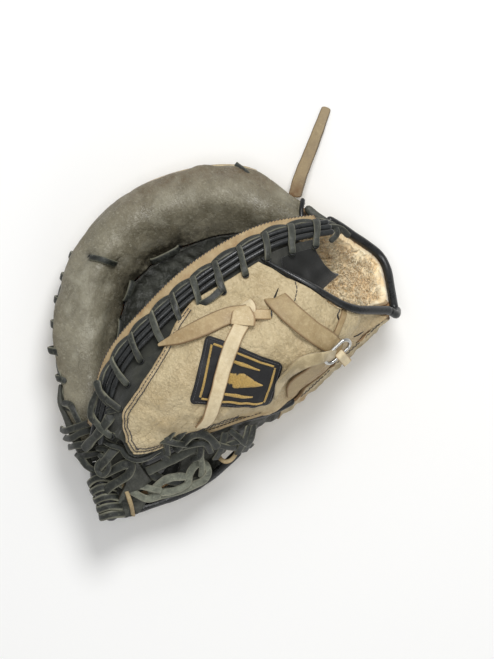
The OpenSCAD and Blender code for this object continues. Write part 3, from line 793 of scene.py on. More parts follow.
def crescent():
    tie_ends = [[on(PALM, u, v) for u, v in tie] for tie in TIES]

    def lift(u, v, p):
        raised = 1.1 * ripple(p, 52, 21) + 0.45 * ripple(p, 20, 22) - 0.35 * creased(p, 30, 23, 0.16)
        for a, b in tie_ends:
            off = off_line(p, a, b)
            far = np.linalg.norm(off, axis=-1)
            angle = np.arctan2(off @ unit(np.cross(b - a, (0, 0, 1))), (p - (a + b) / 2) @ unit(b - a))
            pull = 3.2 * np.exp(-((far / 7) ** 2))
            fading = np.exp(-far / 13) * (1 - np.exp(-((far / 3) ** 2)))
            rays = 0.55 * np.cos(9 * angle + 2 * ripple(p, 14, 24)) * fading
            raised = raised - pull + rays
        fold = bell(v, 0.625 + 0.01 * (u - 2), 0.012) * smooth(u, 2.2, 2.7) * 1.6
        return raised - fold

    def marks(u, v, p):
        pinched = 0
        for a, b in tie_ends:
            off = np.linalg.norm(off_line(p, a, b), axis=-1)
            ends = np.minimum(np.linalg.norm(p - a, axis=-1), np.linalg.norm(p - b, axis=-1))
            pinched = pinched + 0.35 * np.exp(-((off / 7) ** 2)) + 0.35 * np.exp(-((ends / 6) ** 2))
        lines = creased(p, 17, 29, 0.1) * smooth(ripple(p, 40, 19), -0.4, 1)
        outer = 1 - smooth(u, 0.9, 1.5)
        band = bell(u, 1.25, 0.42) * smooth(v, 0.05, 0.12) * (1 - smooth(v, 0.42, 0.56))
        foot = smooth(u, 2.45, 2.95)
        near_pocket = foot * (0.75 - 0.5 * smooth(v, 0.55, 0.8))
        under = 0.75 * smooth(u, 2.3, 2.9) * (0.35 + 0.65 * bell(v, 0.5, 0.2))
        patches, rubbed = smooth(ripple(p, 26, 25), 0.3, 1.8), smooth(ripple(p, 18, 26), 0.1, 1.7)
        return {"stain": 0.42 * band + 0.2 * outer + 0.25 * patches * band,
                "shade": np.clip(0.15 * near_pocket + under + pinched + 0.25 * lines, 0, 1),
                "wear": np.clip(0.3 * rubbed * (1 - foot) + 0.3 * bell(v, 0.72, 0.14) * bell(u, 1.8, 0.7), 0, 1)}

    build = sheet(PALM, 0.24, 2.96, 0, 1, 0, LEATHER_T, 250, 90, lift, marks, inner_slot=1)
    piece = build.make("crescent_cover_leather", OLIVE, DARK_FLESH)
    attach(piece, "crescent_leather", "crescent_cover")

    felt = Build()
    s, r = edge_steps(70, 0.002), edge_steps(26, 0.005)
    v = mix(0.04, 0.95, s)[:, None]
    bevel = 3 + 5 * np.sin(math.pi * s)[:, None]
    depth = LEATHER_T + 1.5 + bevel * (1 - smooth(r, 0, 0.12))
    u_top = mix(0.95, 2.75, r)[None]
    top = on(PALM, *np.broadcast_arrays(u_top, v), -np.broadcast_to(depth, (len(s), len(r))))
    low = on(FINGER_BACK, *np.broadcast_arrays(mix(3.55, 2.95, r)[None], v), -np.broadcast_to(depth, (len(s), len(r))))
    shell(felt, top + 0.25 * ripple(top, 7, 27)[..., None], low + 0.25 * ripple(low, 7, 28)[..., None])
    attach(felt.make("crescent_felt_roll", FELT), "felt", "crescent_felt")


def crescent_ties():
    build, hole_shades = Build(), Build()
    for n, ((u0, v0), (u1, v1)) in enumerate(TIES):
        places = [(mix(u0, u1, t), mix(v0, v1, t)) for t in (0, 0.06, 0.3, 0.5, 0.7, 0.94, 1)]
        lifts = [-3.0, -0.4, 1.2, 1.7, 1.2, -0.4, -3.0]
        path = np.array([on(PALM, u, v, h) for (u, v), h in zip(places, lifts)])
        ups = np.array([-net_normal(PALM, u, v) for u, v in places])
        lace(build, path, ups, 5.8, 2.6, 26, seed=30 + n, waver=0.08)
        for (u, v), sign in ((places[0], -1), (places[-1], 1)):
            way = unit(path[-1] - path[0])
            hole(hole_shades, on(PALM, u, v, -2.6) + way * sign * 0.6, -net_normal(PALM, u, v), 2.2)
    attach(build.make("crescent_tie_laces", LACE), "lace", "crescent_ties")
    # The holes' dark cups are painted shade.
    attach(hole_shades.make("crescent_tie_hole_shade", BLACK), "lace")


def palm():
    """The dark palm leather, in one piece from the crescent over the fold to the thumb rim, with its felt."""
    def lift(u, v, p):
        rays = np.sin(v * 150 + 2.2 * ripple(p, 26, 41)) * bell(u, 3.05, 0.45) * 0.75
        crush = 1.1 * creased(p, 13, 42, 0.3) * bell(u, 4.95, 0.5)
        return 0.6 * ripple(p, 24, 43) + 0.3 * ripple(p, 9, 44) + rays - 0.4 * creased(p, 16, 45) - crush

    def marks(u, v, p):
        return {"wear": np.clip(0.3 * smooth(ripple(p, 20, 46), 0.2, 1.6) * smooth(u, 3.1, 3.5), 0, 1),
                "shade": np.clip(0.6 * (1 - smooth(u, 3.02, 3.2)) + 0.5 * bell(u, 5, 0.5), 0, 1),
                "stain": 0.2 * smooth(ripple(p, 30, 47), 0.5, 1.5) + 0 * u}

    build = sheet(PALM, 3, 6.72, [0.03, 0.03, 0.03, 0.035, 0.06, 0.085], 0.97, 0, LEATHER_T, 170, 130, lift, marks,
                  inner_slot=1)
    piece = build.make("palm_leather", CHARCOAL, DARK_FLESH)
    attach(piece, "dark_leather", "pocket_leather", "thumb_palm")
    pads = [("palm_felt_pad", "palm_felt", 3.1, [4.5, 4.7, 4.7, 4.7, 4.7], 0.05, 0.93, 60, 30, 48),
            ("thumb_felt_pad", "thumb_felt", [5.5, 5.35, 5.35, 5.4, 5.6], [6.15, 6.2, 6.1], 0.23, 0.8, 50, 24, 49)]
    for name, node, u_from, u_to, v_from, v_to, rows, cols, seed in pads:
        felt = sheet(PALM, u_from, u_to, v_from, v_to, LEATHER_T + LAYER_GAP, FELT_T, rows, cols,
                     lambda u, v, p: 0.3 * ripple(p, 8, seed), ends=0.6)
        attach(felt.make(name, FELT), "felt", node)


def rim_frame(t):
    """The thumb rim's point, its direction, the way across towards the back of the thumb, and the way out."""
    centre = spline(thumb_rim, t)
    way = unit(spline(thumb_rim, np.asarray(t) + 0.01) - spline(thumb_rim, np.asarray(t) - 0.01))
    across = np.array((-0.9, 0, 0.42))
    across = unit(across - way * (way @ across)[..., None])
    return centre, way, across, np.cross(way, across)


def rim_point(t, across, out):
    centre, _, side, up = rim_frame(t)
    return centre + side * np.asarray(across)[..., None] + up * np.asarray(out)[..., None]


FINGER_LACE_FROM, FINGER_LACE_TO, FINGER_TURNS = 0.65, 0.93, 7
THUMB_LACE_FROM, THUMB_LACE_TO, THUMB_TURNS = 0.07, 0.95, 12


def side_frame(t):
    """A point of the laced edge under the crescent, its direction and the way out."""
    centre = mix(spline(finger_rim, t), spline(crescent_side, t), 0.55)
    way = unit(spline(finger_rim, t + 0.01) - spline(finger_rim, t - 0.01))
    out = unit(np.cross(way, (0, 0, 1)))
    return centre + out * 0.6, way, out


def finger_rim_binding():
    build = Build()
    t = np.linspace(0, 1, 40)
    line = spline(finger_rim, t)
    radius = 2.1 + 0.12 * ripple(line, 15, 51)
    trim, _, out = side_frame(t)
    tan = slice(6, 26)
    sweep(build, (trim + out * 1.6)[tan], radius[tan] * 0.8, 2.4, (0, 0, 1), 150, 10,
          wear=0.4 + 0.3 * ripple(line[tan], 20, 52))
    sweep(build, line[:20], 1.7, 1.7, (0, 0, 1), 150, 10)
    sweep(build, line[19:], radius[19:], radius[19:], (0, 0, 1), 150, 10, slot=1)
    piece = build.make("finger_rim_binding", TAN, BLACK)
    attach(piece, "binding", "finger_binding")

    laces = Build()
    for n in range(FINGER_TURNS):
        t = mix(FINGER_LACE_FROM, FINGER_LACE_TO, n / (FINGER_TURNS - 1))
        centre, way, out = side_frame(t)
        up = np.cross(out, way)
        loose = 1.0 + 0.5 * (n == FINGER_TURNS - 3)
        ring = [(-1.6, 5.6, 3.5), (1.4, 5.0, 1.4), (4.6 * loose, 2.2, -0.4), (5.2 * loose, -1.6, -1.6),
                (2.6, -5.0, -2.4), (-1.2, -6.0, -3.0)]
        path = [centre + out * a + up * b + way * c for a, b, c in ring]
        ups = [unit(out * a + up * b) for a, b, c in ring]
        lace(laces, path, ups, 6.4, 2.2, 30, seed=60 + n)
    for n in range(FINGER_TURNS - 1):
        t = [mix(FINGER_LACE_FROM, FINGER_LACE_TO, (n + a) / (FINGER_TURNS - 1)) for a in (0.1, 0.35, 0.65, 0.9)]
        centre, way, out = side_frame(np.array(t))
        bulge = np.array([1.6, 2.6, 2.6, 1.6])
        drop = np.array([-4.6, -2.0, 0.5, 4.2])
        lace(laces, centre + out * bulge[:, None] + (0, 0, 1) * drop[:, None], out + (0, 0, 0.2), 5.4, 2.0, 24,
             seed=80 + n)
    attach(laces.make("finger_rim_laces", LACE), "lace", "finger_rim_lace")

    end = Build()
    tip = np.array((76.0, -110, 54))
    lace(end, [tip + (-12, -1, -1), tip + (-5, -1, 1.5), tip, tip + (7, 2, -2)], (0, 0, 1), 4.2, 2.2, 24, seed=95,
         cut=(False, True))
    attach(end.make("finger_rim_lace_end", LACE), "lace")


def heel():
    """The pad at the heel of the hand, sewn over with a lace."""
    build = Build()
    path = [(12, -135, 54), (2, -137, 55), (-9, -141, 57), (-19, -145, 59)]
    sweep(build, path, [3.6, 4.2, 4.0, 3.2], [2.6, 3.0, 3.2, 2.8], (0, 0, 1), 60, 18, waver=0.05, seed=100, wear=0.25)
    piece = build.make("heel_pad_leather", CHARCOAL)
    over = Build()
    lace(over, [(4, -130, 58), (-4, -138, 60), (-12, -144, 61), (-20, -142, 66), (-22, -134, 70)], (0, 0, 1), 5.4, 2.6,
         30, seed=101)
    lace(over, [(-10, -130, 66), (-11, -139, 65), (-18, -147, 61), (-27, -149, 58)], (0, 0, 1), 5.4, 2.6, 30, seed=102)
    attach(over.make("heel_pad_laces", LACE), "lace")
    edge = Build()
    sweep(edge, on(PALM, np.linspace(0.35, 2.9, 7), 0.0, -1.2) + (0, -0.6, 0), 2.1, 2.1, (0, 0, 1), 90, 10, seed=103)
    attach(edge.make("crescent_heel_binding", BLACK), "binding")
    attach(piece, "dark_leather", "heel_pad")


CURLS = 2000


def fleece():
    def locks_at(p):
        """0 in the partings between the locks and 1 on them."""
        return np.abs(np.sin(p @ (0.5, 0.34, 0.2) + 1.4 * ripple(p, 14, 112)))

    def lift(u, v, p):
        locks = 1.5 * locks_at(p) + 0.5 * ripple(p, 5, 113)
        return locks - 0.7 * ripple(p, 12, 111) + 3.2 * (1 - smooth(v, 0.0, 0.05))

    def marks(u, v, p):
        parting = 1 - smooth(locks_at(p), 0, 0.3)
        return {"shade": 0.4 * parting + 0.15 * smooth(ripple(p, 9, 111), 0.3, 1.6) + 0.3 * smooth(v, 0.16, 0.26)}

    depth = LEATHER_T + 2 * LAYER_GAP + LINING_T
    build = sheet(FINGER_BACK, [0.12, 0.4], [2.4, 2.1], 0.0, 0.26, depth, 5.6, 110, 150, lift, marks, ends=0.5)
    piece = build.make("wrist_fleece_pile", FLEECE)
    attach(piece, "fleece", "wrist_fleece")

    draw = np.random.default_rng(7)
    curls = Build()
    for _ in range(CURLS):
        u, v = draw.uniform(0.2, 2.2), draw.uniform(0.016, 0.25)
        root = on(FINGER_BACK, u, v, -depth - 4.4)
        inward = net_normal(FINGER_BACK, u, v)
        lean = unit(draw.normal(size=3) * (0.5, 0.5, 0.3) + inward * 0.7 + (0.7, -0.5, 0))
        curl = unit(np.cross(lean, draw.normal(size=3)))
        length = draw.uniform(3.5, 6.5)
        path = [root, root + lean * length * 0.4 + curl * 0.9, root + lean * length * 0.75 - curl * 0.7,
                root + lean * length + curl * 0.5]
        thin = draw.uniform(0.3, 0.6)
        sweep(curls, path, [thin, thin * 0.9, thin * 0.4], [thin, thin * 0.9, thin * 0.4], curl, 5, 4,
              shade=float(draw.uniform(0, 0.5) ** 1.5))
    attach(curls.make("wrist_fleece_curls", FLEECE), "fleece")


def loop_band(name, centre, along, radius, half_width, node):
    """A leather loop round a line, sewn shut."""
    along = unit(along)
    a = unit(np.cross(along, (0, 0, 1)))
    b = np.cross(along, a)
    q = np.linspace(0, 2 * math.pi, 13)[:-1]
    ring = centre + a * np.cos(q)[:, None] * radius + b * np.sin(q)[:, None] * radius
    out = np.concatenate([ring - centre, (ring - centre)[:1]])
    build = Build()
    sweep(build, ring, half_width, 0.75, out, 60, 14, 5, closed=True)
    sew = Build()
    for shift in (-1, 1):
        stitches(sew, ring[2:6] + along * shift * (half_width - 1.6) + unit(ring[2:6] - centre) * 0.7,
                 unit(ring[2:6] - centre), 3, 2, 0.3)
    attach(build.make(name, TAN), "tan_leather", node)
    attach(sew.make(name + "_stitching", DARK_THREAD), "lace")


def pipings():
    build = Build()
    low = [on(FINGER_BACK, u, 0.0, -LEATHER_T / 2) + (0, -3.9, 0) for u in np.arange(0, 2.67, 0.38)]
    sweep(build, low, 3.9, 3.9, (0, 0, 1), 140, 14, waver=0.02, seed=120)
    sweep(build, [(-103, -138.5, 67), (-108, -141, 60), (-106, -144, 50)], 3.8, 3.8, (1, 0, 0), 30, 14, seed=122)
    attach(build.make("wrist_piping_below", BLACK), "binding", "wrist_piping_lower")
    build = Build()
    high = [on(THUMB_BACK, u, 0.0, -LEATHER_T / 2) + (1, -4.2, 0.6) for u in np.arange(0.2, 3.01, 0.4)]
    radius = [0.9, 2.3, 3.0, 3.4, 3.7, 4.0, 4.1]
    sweep(build, high, radius, radius, (0, 0, 1), 150, 14, waver=0.02, seed=121)
    attach(build.make("wrist_piping_above", BLACK), "binding", "wrist_piping_upper")


def back_panels():
    """The leather that closes the back of the hand, across the fold between the two sides."""
    def lift(u, v, p):
        return 0.8 * ripple(p, 22, 131) + 0.5 * ripple(p, 9, 132) - 0.7 * creased(p * (1, 0.4, 1), 14, 133)

    def marks(u, v, p):
        return {"stain": 0.6 * smooth(ripple(p, 20, 134), 0, 1.6), "shade": 0.35 * bell(u, 1, 0.3)}

    def panel(low_ends, high_ends, sag, rows):
        """The panel between those ends of the two sides' edges: its net and its leather."""
        steps = np.linspace(0, 1, 7)
        low = spline(finger_spine, mix(*low_ends, steps)) + (-1, 0, 2)
        high = spline(thumb_spine, mix(*high_ends, steps)) + (-1, 0, -sag)
        net = [high, (low + high) / 2 + (-sag, 0, 0), low]
        return net, sheet(net, 0, 2, 0, 1, 0, 2.6, rows, 40, lift, marks, inner_slot=1)

    net, build = panel((0.01, 0.54), (0.01, 0.5), 4, 110)
    attach(build.make("back_of_hand_panel", TAN, TAN_FLESH), "tan_leather", "back_hand_panel")
    sewing = Build()
    for u in (0.14, 1.86):
        sewn(sewing, net, [(u, 0.02), (u, 0.3), (u, 0.6), (u, 0.98)], 0.5, 80)
    attach(sewing.make("back_of_hand_stitching", DARK_THREAD), "lace")
    _, build = panel((0.53, 0.86), (0.5, 0.88), 3, 60)
    attach(build.make("spine_lace_panel", CHARCOAL, DARK_FLESH), "dark_leather", "spine_panel")


# ---------------------------------------------------------------- thumb side

# The back panel's edge towards the rim and its lower edge, as lines across the net along the thumb.
PANEL_STEPS = np.linspace(0, 1, 31)
PANEL_TIP = 1 - np.sqrt(1 - np.clip((PANEL_STEPS - 0.88) / 0.12, 0, 1) ** 2)
PANEL_FROM = spline([0.2, 0.2, 0.2, 0.18, 0.15, 0.26, 0.42, 0.56, 0.62, 0.58, 0.6], PANEL_STEPS) + 0.7 * PANEL_TIP
PANEL_TO = spline([3.0, 3.0, 3.0, 3.0, 3.0, 3.0, 2.95, 2.66, 2.62, 2.62, 2.6], PANEL_STEPS) - 0.65 * PANEL_TIP
PANEL_END = 0.985
PANEL_T = 1.8
# Where the strap, its keeper and the knot's ends go through the panel, as (u, v).
SLITS = [((0.75, 0.08), (1.0, 0.2)), ((1.86, 0.03), (1.98, 0.06)), ((2.75, 0.13), (2.9, 0.1)),
         ((1.05, 0.205), (1.16, 0.235))]


def thumb_lift(u, v, p):
    """How far the padded back of the thumb stands out, with its folds at the knot and the strap."""
    puff = 1.3 * ripple(p, 50, 141) + 0.5 * ripple(p, 19, 142)
    knot, strap = on(THUMB_BACK, 0.9, 0.31), on(THUMB_BACK, 0.9, 0.14)
    from_knot = np.linalg.norm(p - knot, axis=-1)
    from_strap = np.linalg.norm(p - strap, axis=-1)
    angle = np.arctan2(p[..., 1] - knot[1], p[..., 0] - knot[0])
    rays = 0.8 * np.cos(6 * angle + 1.6 * ripple(p, 22, 143)) * np.exp(-from_knot / 26)
    dent = 1.6 * np.exp(-((from_knot / 12) ** 2)) + 1.0 * np.exp(-((from_strap / 12) ** 2))
    aslant = (p[..., 0] * 0.9 - p[..., 1] * 0.35) * 0.32
    long_folds = 0.5 * np.cos(aslant + 1.5 * ripple(p, 30, 144)) * smooth(v, 0.66, 0.8)
    dent = dent + 2.4 * np.exp(-((np.linalg.norm(p - RING_PLACE, axis=-1) / 17) ** 2))
    valley = 0.9 * bell(u, 1.3 + 0.8 * (v - 0.3), 0.12) * bell(v, 0.25, 0.1)
    fine_lines = 0.4 * creased(p * (1, 0.6, 1), 13, 145, 0.2)
    return (puff + rays + long_folds - dent - valley - fine_lines) * smooth(u, 0.02, 0.45)


def thumb_back():
    def marks(u, v, p):
        from_edge = u - spline(PANEL_FROM, v / PANEL_END)
        rim = 1 - smooth(from_edge, 0.02, 0.16)
        low = smooth(u, 2.5, 3.0)
        blot = smooth(ripple(p, 24, 151), 0.5, 1.9)
        stained = 0.3 * rim * smooth(v, 0.3, 0.5) + 0.28 * low + 0.15 * blot * bell(v, 0.35, 0.3)
        return {"stain": np.clip(stained, 0, 1),
                "wear": np.clip(0.22 * smooth(ripple(p, 26, 152), -0.2, 1.4) * smooth(v, 0.4, 0.9) * (1 - low), 0, 1),
                "shade": 0.16 * creased(p * (1, 0.6, 1), 13, 145, 0.12)}

    def panel_lift(u, v, p):
        """The padded back's shape, with the turned edge standing up past the middle of the panel."""
        gap = np.minimum(u - spline(PANEL_FROM, v / PANEL_END), spline(PANEL_TO, v / PANEL_END) - u) * 42
        return thumb_lift(u, v, p) + (0.9 * bell(gap, 1.5, 1.6) - 0.5 * bell(gap, 5.4, 1.2)) * smooth(v, 0.4, 0.5)

    build = sheet(THUMB_BACK, PANEL_FROM, PANEL_TO, 0, PANEL_END, 0, PANEL_T, 230, 150, panel_lift, marks,
                  inner_slot=1, ends=0.3)
    piece = build.make("thumb_back_panel_leather", TAN, TAN_FLESH)
    attach(piece, "tan_leather", "thumb_back_panel")

    def base_lift(u, v, p):
        return thumb_lift(u, v, p) - 0.25 - 0.2 * np.abs(ripple(p, 8, 153))

    build = sheet(THUMB_BACK, 0.1, 2.96, 0.004, 1, PANEL_T + 0.25, 1.3, 150, 110, base_lift,
                  lambda u, v, p: {"shade": 0.5 * (1 - smooth(u, 0.1, 0.3))})
    attach(build.make("thumb_back_gusset", GUSSET), "dark_leather", "thumb_back_base")

    sewing = Build()
    t = np.linspace(0, 1, 90)
    edge = np.stack([spline(PANEL_FROM, t), t * PANEL_END], 1)
    low_edge = np.stack([spline(PANEL_TO, t[::-1]), t[::-1] * PANEL_END], 1)
    outline = np.concatenate([edge[38:-1], np.linspace(edge[-1], low_edge[0], 7), low_edge[1:30]])
    for distance in (2.6, 5.6):
        u, v = inset(THUMB_BACK, outline, distance).T
        points, outs = on(THUMB_BACK, u, v, 0.4), -net_normal(THUMB_BACK, u, v)
        stitches(sewing, points + outs * thumb_lift(u, v, points)[:, None], outs, 3.4, 2.5)
    for path in [(0.8, 0.004), (0.95, 0.04), (1.12, 0.1)], [(1.83, 0.004), (1.86, 0.02), (1.88, 0.04)]:
        stitches(sewing, *on_thumb(*spline(path, np.linspace(0, 1, 12)).T, 0.35), 3.2, 2.4)
    attach(sewing.make("thumb_back_stitching", DARK_THREAD), "lace")


def on_thumb(u, v, lift):
    """Points lifted off the padded back of the thumb, and the way out of it."""
    puffed = thumb_lift(u, v, on(THUMB_BACK, u, v))
    return on(THUMB_BACK, u, v, puffed + lift), -net_normal(THUMB_BACK, u, v)


def thumb_rim_trim():
    rolls = Build()
    step = 2 * BINDING_R + 0.3
    t = np.linspace(0.03, 1, 12)
    for n in (-1, 0, 1):
        path = rim_point(t, n * step, 0.35 * (1 - n * n))
        sweep(rolls, path, 2.65, 2.65, (0, 0, 1), 260, 12, waver=0.03, seed=160 + n, wear=0.12)
    attach(rolls.make("thumb_rim_rolls", BLACK), "binding", "thumb_bindings")

    flange = Build()
    t = np.linspace(0.04, 0.99, 120)
    inner = rim_point(t, -1.0, -4.6)
    outer = spline(thumb_rim, t) + np.array((15.4, 1.0, -11.5)) * (0.98 + 0.3 * bell(t, 0.4, 0.24))[:, None]
    outer[:, 2] += 0.7 * ripple(outer, 34, 165)
    s = edge_steps(12, 0.02)[:, None]
    grid = mix(inner[:, None], outer[:, None], s)
    grid[..., 2] += 1.6 * np.sin(math.pi * s[..., 0])
    down = unit(np.cross(np.gradient(grid, axis=0), np.gradient(grid, axis=1)))
    down *= -np.sign(down[..., 2:])
    shell(flange, grid, grid + down * 2.3, 1, stain=0.25 + 0.3 * smooth(ripple(grid, 26, 166), 0, 1.5),
          wear=0.35 * smooth(ripple(grid, 18, 167), 0, 1.5))
    attach(flange.make("thumb_rim_lip", LIP, TAN_FLESH), "tan_leather", "thumb_flange")
    sewing = Build()
    stitches(sewing, grid[:, -2] - down[:, -2] * 0.1, -down[:, -2], 3.2, 1.9, 0.36, slant=0.5)
    attach(sewing.make("thumb_rim_lip_stitching", DARK_THREAD), "lace")

    laces, hole_shades = Build(), Build()
    turns = [mix(THUMB_LACE_FROM, THUMB_LACE_TO, n / (THUMB_TURNS - 1)) for n in range(THUMB_TURNS)]
    for n, t in enumerate(turns):
        reach = 15.5 + 2.0 * math.sin(2.1 * n)
        route = [(-9.6, -6.0, -3.4), (-9.9, -2.0, -3.0), (-7.6, 2.6, -2.2), (-3.0, 4.5, -0.6), (2.5, 4.8, 1.4),
                 (7.4, 4.3, 3.4), (11.0, 2.4, 5.0), (reach, 0.4, 6.6), (reach + 1.4, -3.0, 7.2)]
        centre, way, side, up = rim_frame(t)
        path = [centre + side * a + up * b + way * c for a, b, c in route]
        ups = [unit(up * 1.0 + side * a / 9) for a, b, c in route]
        lace(laces, path, ups, 5.8, 2.8, 44, seed=170 + n, waver=0.18, wear=float(0.2 + 0.2 * math.sin(3 * n)))
        hole(hole_shades, centre + side * (reach + 1.2) + way * 7.2 + up * -0.7, up, 2.5)
    for n in range(THUMB_TURNS - 1):
        ts = np.array([mix(turns[n], turns[n + 1], s) for s in (-0.1, 0.15, 0.5, 0.85, 1.06)])
        path = rim_point(ts, (-8.2, -9.3, -9.9, -9.3, -8.2), (-1.5, 0.6, 1.5, 0.3, -2.5))
        lace(laces, path, [(0.75, 0, 0.75)] * 5, 5.6, 2.2, 30, seed=190 + n)
    bridge = rim_point(np.array([mix(turns[4], turns[5], s) for s in (0.3, 0.45, 0.8, 1.1, 1.3)]),
                       (15.5, 17.2, 18.4, 17.6, 15.6), (-0.6, 1.4, 2.0, 1.6, -0.6))
    lace(laces, bridge, (0, 0, 1), 6.6, 2.3, 30, seed=205)
    attach(laces.make("thumb_rim_laces", LACE), "lace", "thumb_rim_lace")
    # The holes' dark cups are painted shade.
    attach(hole_shades.make("thumb_rim_hole_shade", BLACK), "lace")


def seam_roll():
    build = Build()
    v = np.linspace(0.48, 1.0, 12)
    path = net_point(THUMB_BACK, 3, v) + (-1, 0, -4.4)
    sweep(build, path, 3.3, 3.1, (0, 0, 1), 80, 12, waver=0.04, seed=210)
    attach(build.make("thumb_seam_roll_leather", BLACK), "binding", "thumb_seam_roll")


def heel_flap():
    def lift(u, v, p):
        return 0.4 * ripple(p, 16, 221)

    build = sheet(PALM, [5.1, 5.3], 6.5, [0.012, 0.045, 0.085], 0.19, LEATHER_T + 0.6, 1.8, 50, 60, lift)
    attach(build.make("heel_flap_leather", FLAP), "dark_leather", "heel_flap")


PATCH_NEAR = (0.78, 0.47), (1.85, 0.36)
PATCH_FAR = (1.5, 0.72), (2.6, 0.53)
PATCH_T = 1.8


def patch_at(a, b):
    """A place of the patch, a across it and b along it from 0 to 1, as u and v of the thumb's back."""
    a, b = (np.asarray(x, float)[..., None] for x in (a, b))
    near, far = (mix(np.array(first), np.array(last), a) for first, last in (PATCH_NEAR, PATCH_FAR))
    place = mix(near, far, b)
    return place[..., 0], place[..., 1]


def patch():
    b = edge_steps(60, 0.003)
    corner = 0.07 * (1 - np.sqrt(1 - np.clip(1 - np.minimum(b, 1 - b) / 0.09, 0, 1) ** 2))
    a = mix(corner[:, None], 1 - corner[:, None], edge_steps(60, 0.003))
    u, v = patch_at(a, b[:, None] + 0 * a)
    base, inward = net_point(THUMB_BACK, u, v), net_normal(THUMB_BACK, u, v)
    low = thumb_lift(u, v, base) + 0.15 * ripple(base, 12, 231)
    high = low + PATCH_T
    high[[0, -1], :] -= 0.8
    high[:, [0, -1]] -= 0.8
    build = Build()
    shell(build, base - inward * high[..., None], base - inward * low[..., None])
    attach(build.make("back_patch", PATCH), "patch", "thumb_patch")

    def across_patch(path, lift):
        return on_thumb(*patch_at(*spline(path, np.linspace(0, 1, 80)).T), lift)

    def satin(build, path, width, pitch=0.62):
        """Embroidery: threads side by side across a path."""
        points, outs = across_patch(path, PATCH_T + 0.15)
        places, ways, wanted = along_line(points, pitch)
        widths = np.interp(wanted, np.linspace(0, wanted[-1], len(width)), width)
        for place, way, w in zip(places, ways, widths):
            out = outs[np.argmin(np.linalg.norm(points - place, axis=1))]
            across = unit(np.cross(out, way) + 0.25 * way) * w / 2
            sweep(build, [place - across - out * 0.5, place - across * 0.9 + out * 0.12, place + out * 0.35,
                          place + across * 0.9 + out * 0.12, place + across - out * 0.5], 0.33, 0.3, out, 6, 5)

    def border(a, b, start):
        """The four sides of a frame, at a and b from the patch's edges, each from start to as far from its end."""
        end = 1 - start
        sides = (((a, start), (a, end)), ((start, 1 - b), (end, 1 - b)),
                 ((1 - a, end), (1 - a, start)), ((end, b), (start, b)))
        return [np.linspace(*side, 4) for side in sides]

    gold = Build()
    for side in border(0.1, 0.1, 0.12):
        satin(gold, side, [1.7, 1.7])
    satin(gold, np.linspace((0.2, 0.5), (0.8, 0.5), 4), [0.8, 8, 15, 8, 0.8])
    for b in (0.24, 0.76):
        satin(gold, np.linspace((0.28, b), (0.72, b), 4), [1.0, 3.4, 1.0])
    attach(gold.make("back_patch_embroidery", GOLD_THREAD), "patch")

    sew = Build()
    for side in border(0.035, 0.04, 0.06):
        stitches(sew, *across_patch(side, PATCH_T + 0.1), 2.6, 1.8, 0.34)
    attach(sew.make("back_patch_stitching", BLACK_THREAD), "patch")


# The straps on the back of the thumb. Each piece has its materials, its node and its bands, and a band its places as
# u, v and lift, its width, thickness and rings, and what else sweep takes.
STRAPS = [
    ("wrist_strap_leather", [STRAP], "wrist_strap", [
        ([(0.84, 0.13, -3.5), (0.92, 0.142, 0.4), (1.1, 0.155, 2.2), (1.3, 0.168, 2.8), (1.7, 0.178, 2.8),
          (2.1, 0.18, 3.0), (2.25, 0.185, 4.8), (2.36, 0.19, 7.5)],
         [19.5, 20, 20, 20, 19, 17, 13], 2.4, 60, {"waver": 0.04, "stain": [0.3, 0.2, 0.1, 0.2, 0.4]})]),
    ("strap_keeper_strip", [STRAP], "strap_keeper", [
        ([(1.95, 0.0, -1), (1.98, 0.03, 1.4), (2.05, 0.08, 1.8), (2.12, 0.13, 1.5)], 6, 1.8, 30, {"stain": 0.3})]),
    ("strap_folded_tail", [STRAP_FLESH, STRAP], "strap_tail", [
        ([(2.33, 0.215, 8.5), (2.1, 0.25, 8), (1.98, 0.3, 6), (2.0, 0.35, 4.5), (2.15, 0.42, 4), (2.45, 0.49, 3)],
         [9, 11, 12, 12, 9, 2.5], 2.4, 60, {"waver": 0.1}),
        ([(2.35, 0.25, 3), (2.35, 0.32, 3.4), (2.5, 0.39, 3), (2.85, 0.46, 1.5)],
         [18, 22, 22, 8], 2.2, 40, {"slot": 1, "stain": 0.15})]),
    ("stall_lace_knot", [PALE_STRAP], "stall_knot", [
        ([(0.66, 0.245, -1), (0.72, 0.25, 2.5), (0.82, 0.262, 4.6), (0.9, 0.28, 3.6)],
         [12, 12.5, 12, 11], 2.5, 30, {"wear": 0.5}),
        ([(0.76, 0.285, 4.8), (0.84, 0.305, 6.8), (0.93, 0.325, 7), (1.0, 0.345, 5.6)],
         [14, 18, 21, 21], 2.6, 30, {"cut": (False, True), "stain": 0.1}),
        ([(0.92, 0.28, 3.4), (1.0, 0.26, 3.2), (1.07, 0.235, 1.6), (1.1, 0.22, -1.5)], 9, 2.2, 24, {"stain": 0.3})]),
    ("knot_long_tail", [PALE_STRAP], "knot_tail_long", [
        ([(0.94, 0.32, 3.6), (1.1, 0.41, 4.4), (1.33, 0.51, 4.4), (1.64, 0.62, 4.2), (1.98, 0.71, 3.8),
          (2.2, 0.765, 3)],
         [13, 13, 13, 12.5, 12, 12], 2.4, 70, {"cut": (False, True), "wear": 0.35})]),
    ("knot_pointed_tail", [LIP], "knot_tail_short", [
        ([(0.84, 0.28, 3.4), (0.74, 0.36, 3.2), (0.66, 0.45, 2.6), (0.54, 0.53, 2.4), (0.36, 0.6, 2)],
         [12, 16, 17, 14, 3], 2.4, 60, {"waver": 0.06, "stain": 0.2})]),
]


